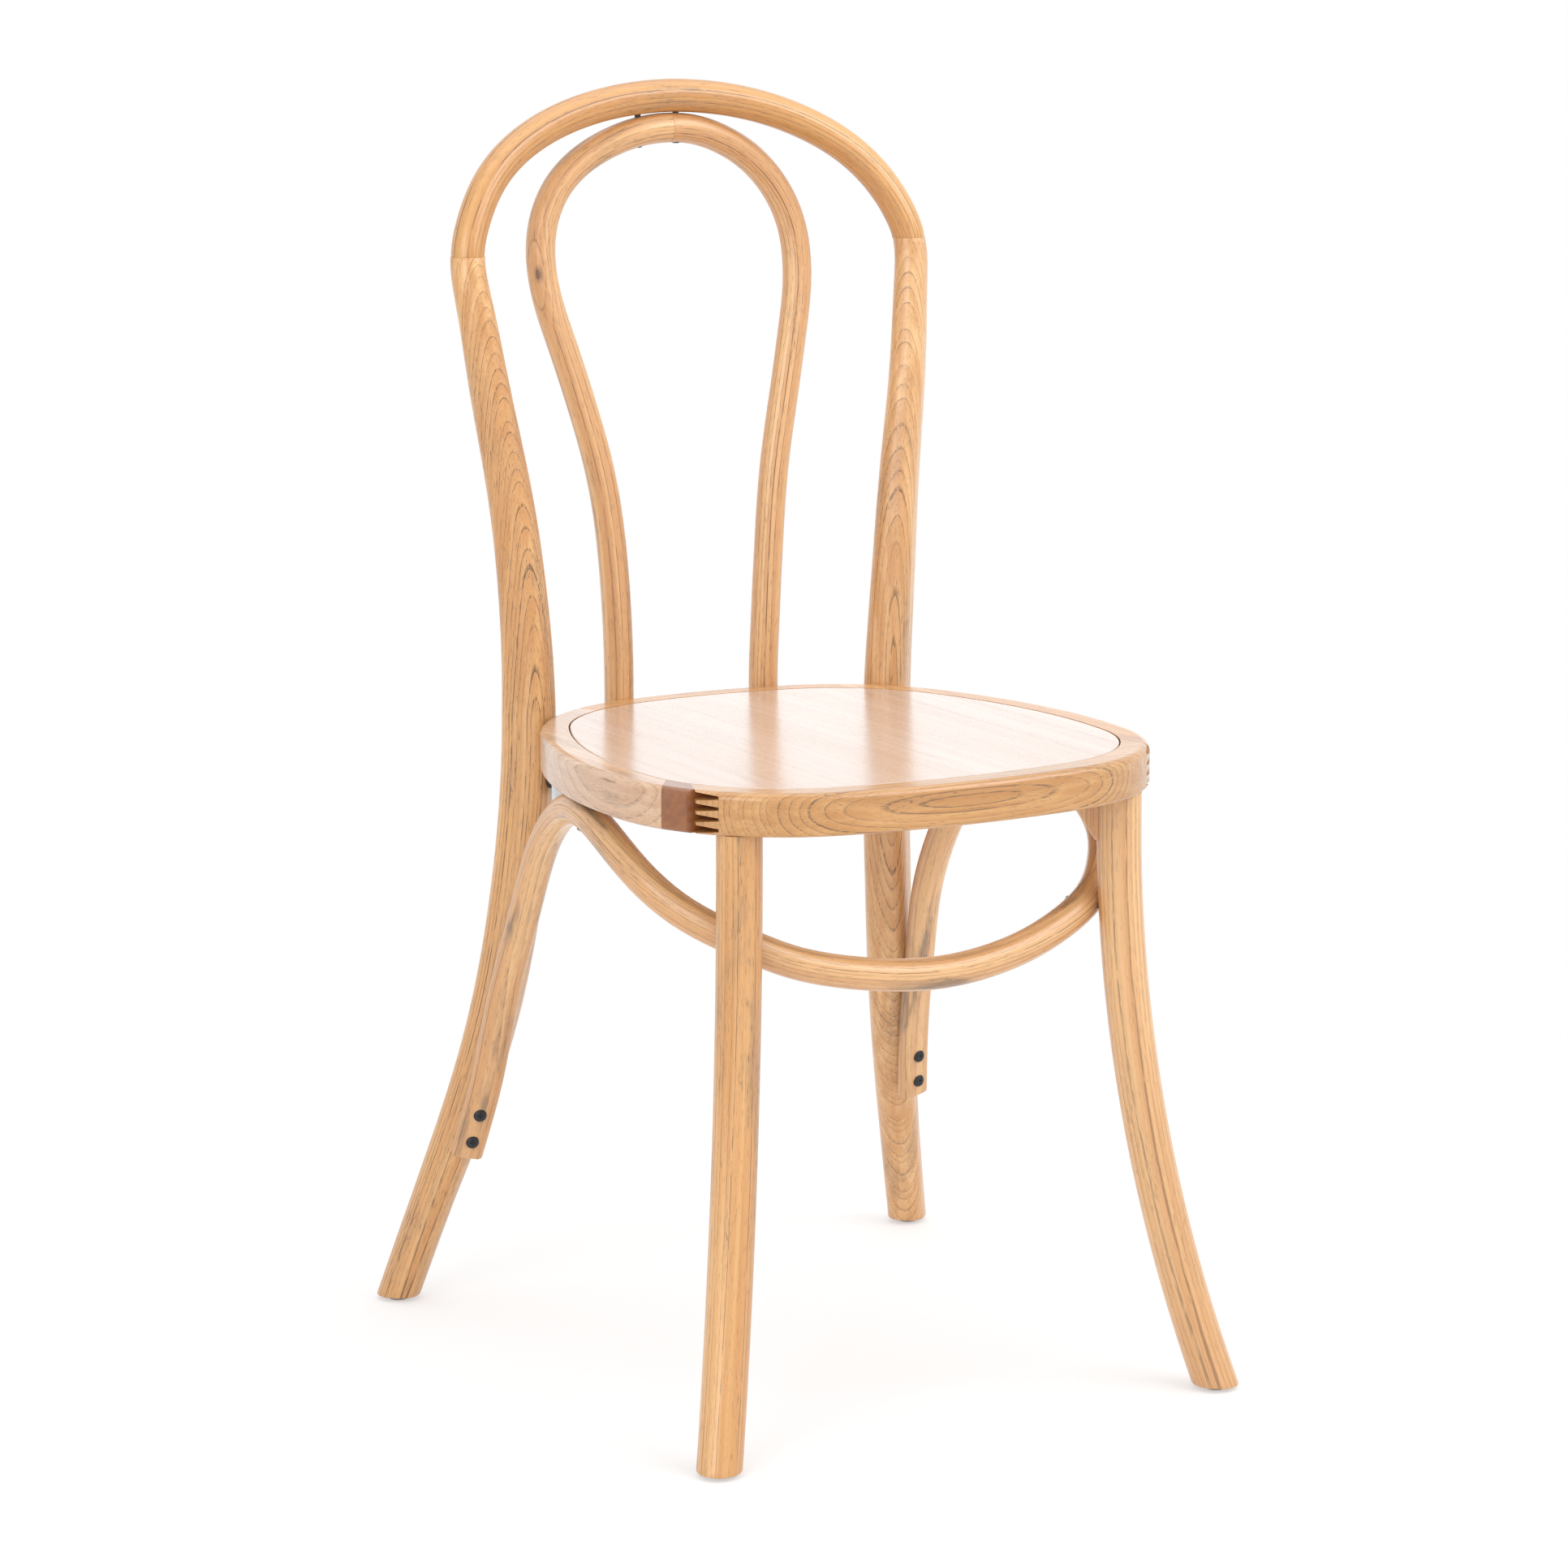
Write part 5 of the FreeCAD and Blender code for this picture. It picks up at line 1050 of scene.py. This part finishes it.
# %% [markdown]
# ## Metal and plastic
# Screws are blackened steel, the brackets and their bolts are zinc plated, the spacers are black
# plastic and the glides grey plastic. A flat colour would do from afar. Plating and moulding are
# never even, though, so one function clouds both the colour and the roughness a little.

# %% Metal and plastic
CLOUD_DETAIL = 4.0
CLOUD_LIGHTER = 1.8
CLOUD_LIFT = 0.02
CLOUD_ROUGHNESS = 0.25
ROUGHNESS_MIDDLE = 0.12


def worn(name, base, roughness, metallic, scale, amount):
    """Even finish with a little cloud in its colour and its roughness."""
    material, tree, shader = new_material(name, base, roughness, metallic)
    place = tree.nodes.new("ShaderNodeTexCoord").outputs["Object"]
    cloud = noise(tree, place, (scale, scale, scale), CLOUD_DETAIL)
    lighter = [min(part * CLOUD_LIGHTER + CLOUD_LIFT, 1) for part in base]
    colour = mix(tree, math_node(tree, "MULTIPLY", cloud, amount), base, lighter)
    tree.links.new(colour, shader.inputs["Base Color"])
    rough = math_node(tree, "MULTIPLY", cloud, CLOUD_ROUGHNESS)
    rough = math_node(tree, "ADD", rough, roughness - ROUGHNESS_MIDDLE)
    tree.links.new(rough, shader.inputs["Roughness"])
    return material


# Colour, roughness, metal, clouds per metre and how strong they are
black_metal = worn("black_metal", (0.020, 0.021, 0.024), 0.36, 0.4, 900, 0.5)
zinc_plate = worn("zinc_plate", (0.62, 0.63, 0.64), 0.34, 1.0, 260, 0.35)
black_plastic = worn("black_plastic", (0.02, 0.02, 0.02), 0.5, 0.0, 500, 0.3)
grey_plastic = worn("grey_plastic", (0.30, 0.30, 0.30), 0.55, 0.0, 500, 0.3)
for look, names in (
        (black_metal, ("hoop_screws", "hoop_foot_screws", "brace_seat_screws",
                       "brace_front_screws", "bracket_screws")),
        (zinc_plate, ("seat_bracket_left", "seat_bracket_right", "bracket_bolts")),
        (black_plastic, ("bracket_spacers",)), (grey_plastic, ("foot_glides",))):
    for name in names:
        set_finish(name, look)
    print("finished:", ", ".join(names))

# %% [markdown]
# ## Cross-headed screws
# Two black pan head screws hold each end of the brace, and the camera sees their heads well. The
# recess could be cut with a cross-shaped tool, but a Boolean on so small a mesh often fails. Here
# a grid is pressed into a disc and raised to a pan, and the faces of the cross are inset downwards,
# which makes the recess. The shank is a plain cylinder that goes into the leg.

# %% One screw
HEAD_R = 0.0048
HEAD_RISE = 0.0030
HEAD_CELLS = 18
RIM_SHARE = 0.35
PAN_POWER = 3.4
CROSS_HALF = 1.99 / HEAD_CELLS
CROSS_REACH = 0.5
CROSS_DRAFT = 0.00012
CROSS_DEPTH = 0.0012
SHANK_R = 0.0022
SHANK_LENGTH = 0.032
SHANK_SIDES = 24


def raise_pan(head):
    """Presses a square grid into a disc and raises it to a flat-topped pan."""
    for vert in head:
        wide, high = vert.co.x, vert.co.y
        vert.co.x = wide * math.sqrt(1 - high ** 2 / 2)
        vert.co.y = high * math.sqrt(1 - wide ** 2 / 2)
        far = min(vert.co.xy.length, 1)
        vert.co.z = HEAD_RISE * (RIM_SHARE + (1 - RIM_SHARE) * (1 - far ** PAN_POWER) ** 0.5)
        vert.co.xy *= HEAD_R


def screw(bm, base, outward):
    """One screw whose head bears on the base point and points outward."""
    before = set(bm.verts)
    head = bmesh.ops.create_grid(bm, x_segments=HEAD_CELLS, y_segments=HEAD_CELLS, size=1)["verts"]
    cross = []
    for face in list({face for vert in head for face in vert.link_faces}):
        middle = [abs(value) for value in face.calc_center_median()]
        if min(middle[:2]) < CROSS_HALF and max(middle[:2]) < CROSS_REACH:
            cross.append(face)
    raise_pan(head)
    rim = [edge for vert in head for edge in vert.link_edges if edge.is_boundary]
    skirt = bmesh.ops.extrude_edge_only(bm, edges=list(set(rim)))["geom"]
    skirt = [item for item in skirt if isinstance(item, bmesh.types.BMVert)]
    for vert in skirt:
        vert.co.z = 0
    under = {edge for vert in skirt for edge in vert.link_edges if edge.is_boundary}
    bmesh.ops.contextual_create(bm, geom=list(under))
    bmesh.ops.inset_region(bm, faces=cross, thickness=CROSS_DRAFT, depth=-CROSS_DEPTH,
                           use_even_offset=True)
    shank = bmesh.ops.create_cone(bm, cap_ends=True, segments=SHANK_SIDES, radius1=SHANK_R,
                                  radius2=SHANK_R, depth=SHANK_LENGTH)["verts"]
    bmesh.ops.translate(bm, vec=(0, 0, -SHANK_LENGTH / 2), verts=shank)
    turn = Vector(outward).to_track_quat("Z", "Y").to_matrix()
    fresh = [vert for vert in bm.verts if vert not in before]
    bmesh.ops.rotate(bm, cent=(0, 0, 0), matrix=turn, verts=fresh)
    bmesh.ops.translate(bm, vec=Vector(base), verts=fresh)


print("screw head:", 2 * HEAD_R, "m wide")

# %% Brace end screws
# The heads are let into the strap by a hair
HEAD_SEAT = 0.0006
SCREW_SPACING = 0.021
# Height of each screw over the end of the brace, as a share of the spacing
SCREW_SHARES = (0.57, 1.57)

arm = np.linspace(0, BRACE_LINE.knots[len(REAR_ARM) + 2], FINE_STEPS // 2)
arm_heights = BRACE_LINE.at(arm)[:, 2]
bm = bmesh.new()
for share in SCREW_SHARES:
    height = BRACE_END_HEIGHT + SCREW_SPACING * share
    on_line = BRACE_LINE.at(np.interp(height, arm_heights, arm))[0]
    base = on_line + BRACE_NORMAL * (BRACE_DEPTH / 2 - HEAD_SEAT)
    for _, turned in SIDES:
        screw(bm, base * turned, BRACE_NORMAL * turned)
screws = new_object("brace_screw_set", bm, black_metal)
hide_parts("brace_end_screws")
print("screws:", len(screws.data.polygons), "faces")

# %% [markdown]
# ## Floor
# The chair stands on a white ground that has no visible end. A curved backdrop could give that. A
# flat floor that turns into plain glowing white with distance does the same from every side, and
# it keeps the soft shadows close to the feet. Only the camera, mirrors and glass see the glow.

# %% Floor
FLOOR_HALF = 6
FLOOR_WHITE = (0.92, 0.92, 0.92)
FLOOR_ROUGHNESS = 0.9
FADE_PER_METRE = 0.7
# How much of the floor glows: half of it near the chair, all of it further out
FADE = ((0.25, 0.5), (0.85, 1.0))

floor_bm = bmesh.new()
bmesh.ops.create_grid(floor_bm, x_segments=1, y_segments=1, size=FLOOR_HALF)
floor_mesh = bpy.data.meshes.new("floor")
floor_bm.to_mesh(floor_mesh)
floor_bm.free()
floor = bpy.data.objects.new("floor", floor_mesh)
bpy.context.scene.collection.objects.link(floor)
floor_material, tree, shader = new_material("floor_white", FLOOR_WHITE, FLOOR_ROUGHNESS)
floor_mesh.materials.append(floor_material)


def is_seen(tree):
    """1 for rays from the camera and for what mirrors and glass show."""
    path = tree.nodes.new("ShaderNodeLightPath").outputs
    seen = math_node(tree, "MAXIMUM", path["Is Camera Ray"], path["Is Glossy Ray"])
    return math_node(tree, "MAXIMUM", seen, path["Is Transmission Ray"])


def blend_shaders(tree, amount, first, second, output):
    blend = tree.nodes.new("ShaderNodeMixShader")
    for socket, value in zip(blend.inputs, (amount, first, second)):
        tree.links.new(value, socket)
    tree.links.new(blend.outputs[0], tree.nodes[output].inputs[0])


glow = tree.nodes.new("ShaderNodeEmission")
glow.inputs["Strength"].default_value = 1.0
length = tree.nodes.new("ShaderNodeVectorMath")
length.operation = "LENGTH"
tree.links.new(tree.nodes.new("ShaderNodeTexCoord").outputs["Object"], length.inputs[0])
far = ramp(tree, math_node(tree, "MULTIPLY", length.outputs["Value"], FADE_PER_METRE), FADE)
blend_shaders(tree, math_node(tree, "MULTIPLY", is_seen(tree), far), shader.outputs[0],
              glow.outputs[0], "Material Output")
print("floor:", 2 * FLOOR_HALF, "m wide")

# %% [markdown]
# ## Surround and lights
# In a photo studio white walls throw light from everywhere, and a few large soft boxes shape the
# object. An environment picture could stand in for that. Plain white and four area lights are
# enough here: large ones, because only a large light gives the soft edges that lacquer shows.

# %% Surround
SURROUND_LIGHT = 0.88
SURROUND_SEEN = 1.0

world = bpy.data.worlds.new("studio")
world.use_nodes = True
bpy.context.scene.world = world
tree = world.node_tree
lighting = tree.nodes["Background"]
seen_white = tree.nodes.new("ShaderNodeBackground")
for background, strength in ((lighting, SURROUND_LIGHT), (seen_white, SURROUND_SEEN)):
    background.inputs["Color"].default_value = (1, 1, 1, 1)
    background.inputs["Strength"].default_value = strength
blend_shaders(tree, is_seen(tree), lighting.outputs[0], seen_white.outputs[0], "World Output")
print("surround:", world.name)

# %% Lights
# Place, the place it is turned to, width and height in metres, and power in watts
LIGHTS = {
    "key": ((1.7, -2.15, 2.8), (0, 0, 0.45), (3.0, 1.8), 55),
    "fill": ((-2.4, -1.6, 1.9), (0, 0, 0.4), (1.6, 2.0), 26),
    "behind": ((1.45, 2.75, 0.55), (0, 0, 0.45), (2.4, 0.9), 3.5),
    "top": ((0.2, 0.4, 3.0), (0, 0, 0.3), (2.4, 2.4), 18),
}


def aim(thing, place, target):
    """Puts a light or the camera into the scene and turns it to a target."""
    thing.location = place
    thing.rotation_euler = (Vector(target) - Vector(place)).to_track_quat("-Z", "Y").to_euler()
    bpy.context.scene.collection.objects.link(thing)


for name, (place, target, size, power) in LIGHTS.items():
    data = bpy.data.lights.new(name, "AREA")
    data.shape = "RECTANGLE"
    data.size, data.size_y = size
    data.energy = power
    light = bpy.data.objects.new(name, data)
    aim(light, place, target)
print("lights:", ", ".join(LIGHTS))

# %% [markdown]
# ## Camera
# The photograph was taken from a good three metres away, to the left of the chair and above its
# seat, with a long lens that keeps the legs nearly parallel. The view could be matched by eye.
# These values come from fitting the lines of the chair to the photograph, so both can be compared
# point by point.

# %% Camera
LENS = 112.66
SENSOR = 36
CAMERA_PLACE = (-1.6350, -2.9676, 1.0647)
LOOK_AT = (-0.0007, 0.0349, 0.4005)

camera_data = bpy.data.cameras.new("camera")
camera_data.lens = LENS
camera_data.sensor_width = SENSOR
camera = bpy.data.objects.new("camera", camera_data)
aim(camera, CAMERA_PLACE, LOOK_AT)
bpy.context.scene.camera = camera
bpy.context.scene.view_settings.view_transform = "Standard"
print("camera distance:", round((Vector(LOOK_AT) - Vector(CAMERA_PLACE)).length, 3), "m")
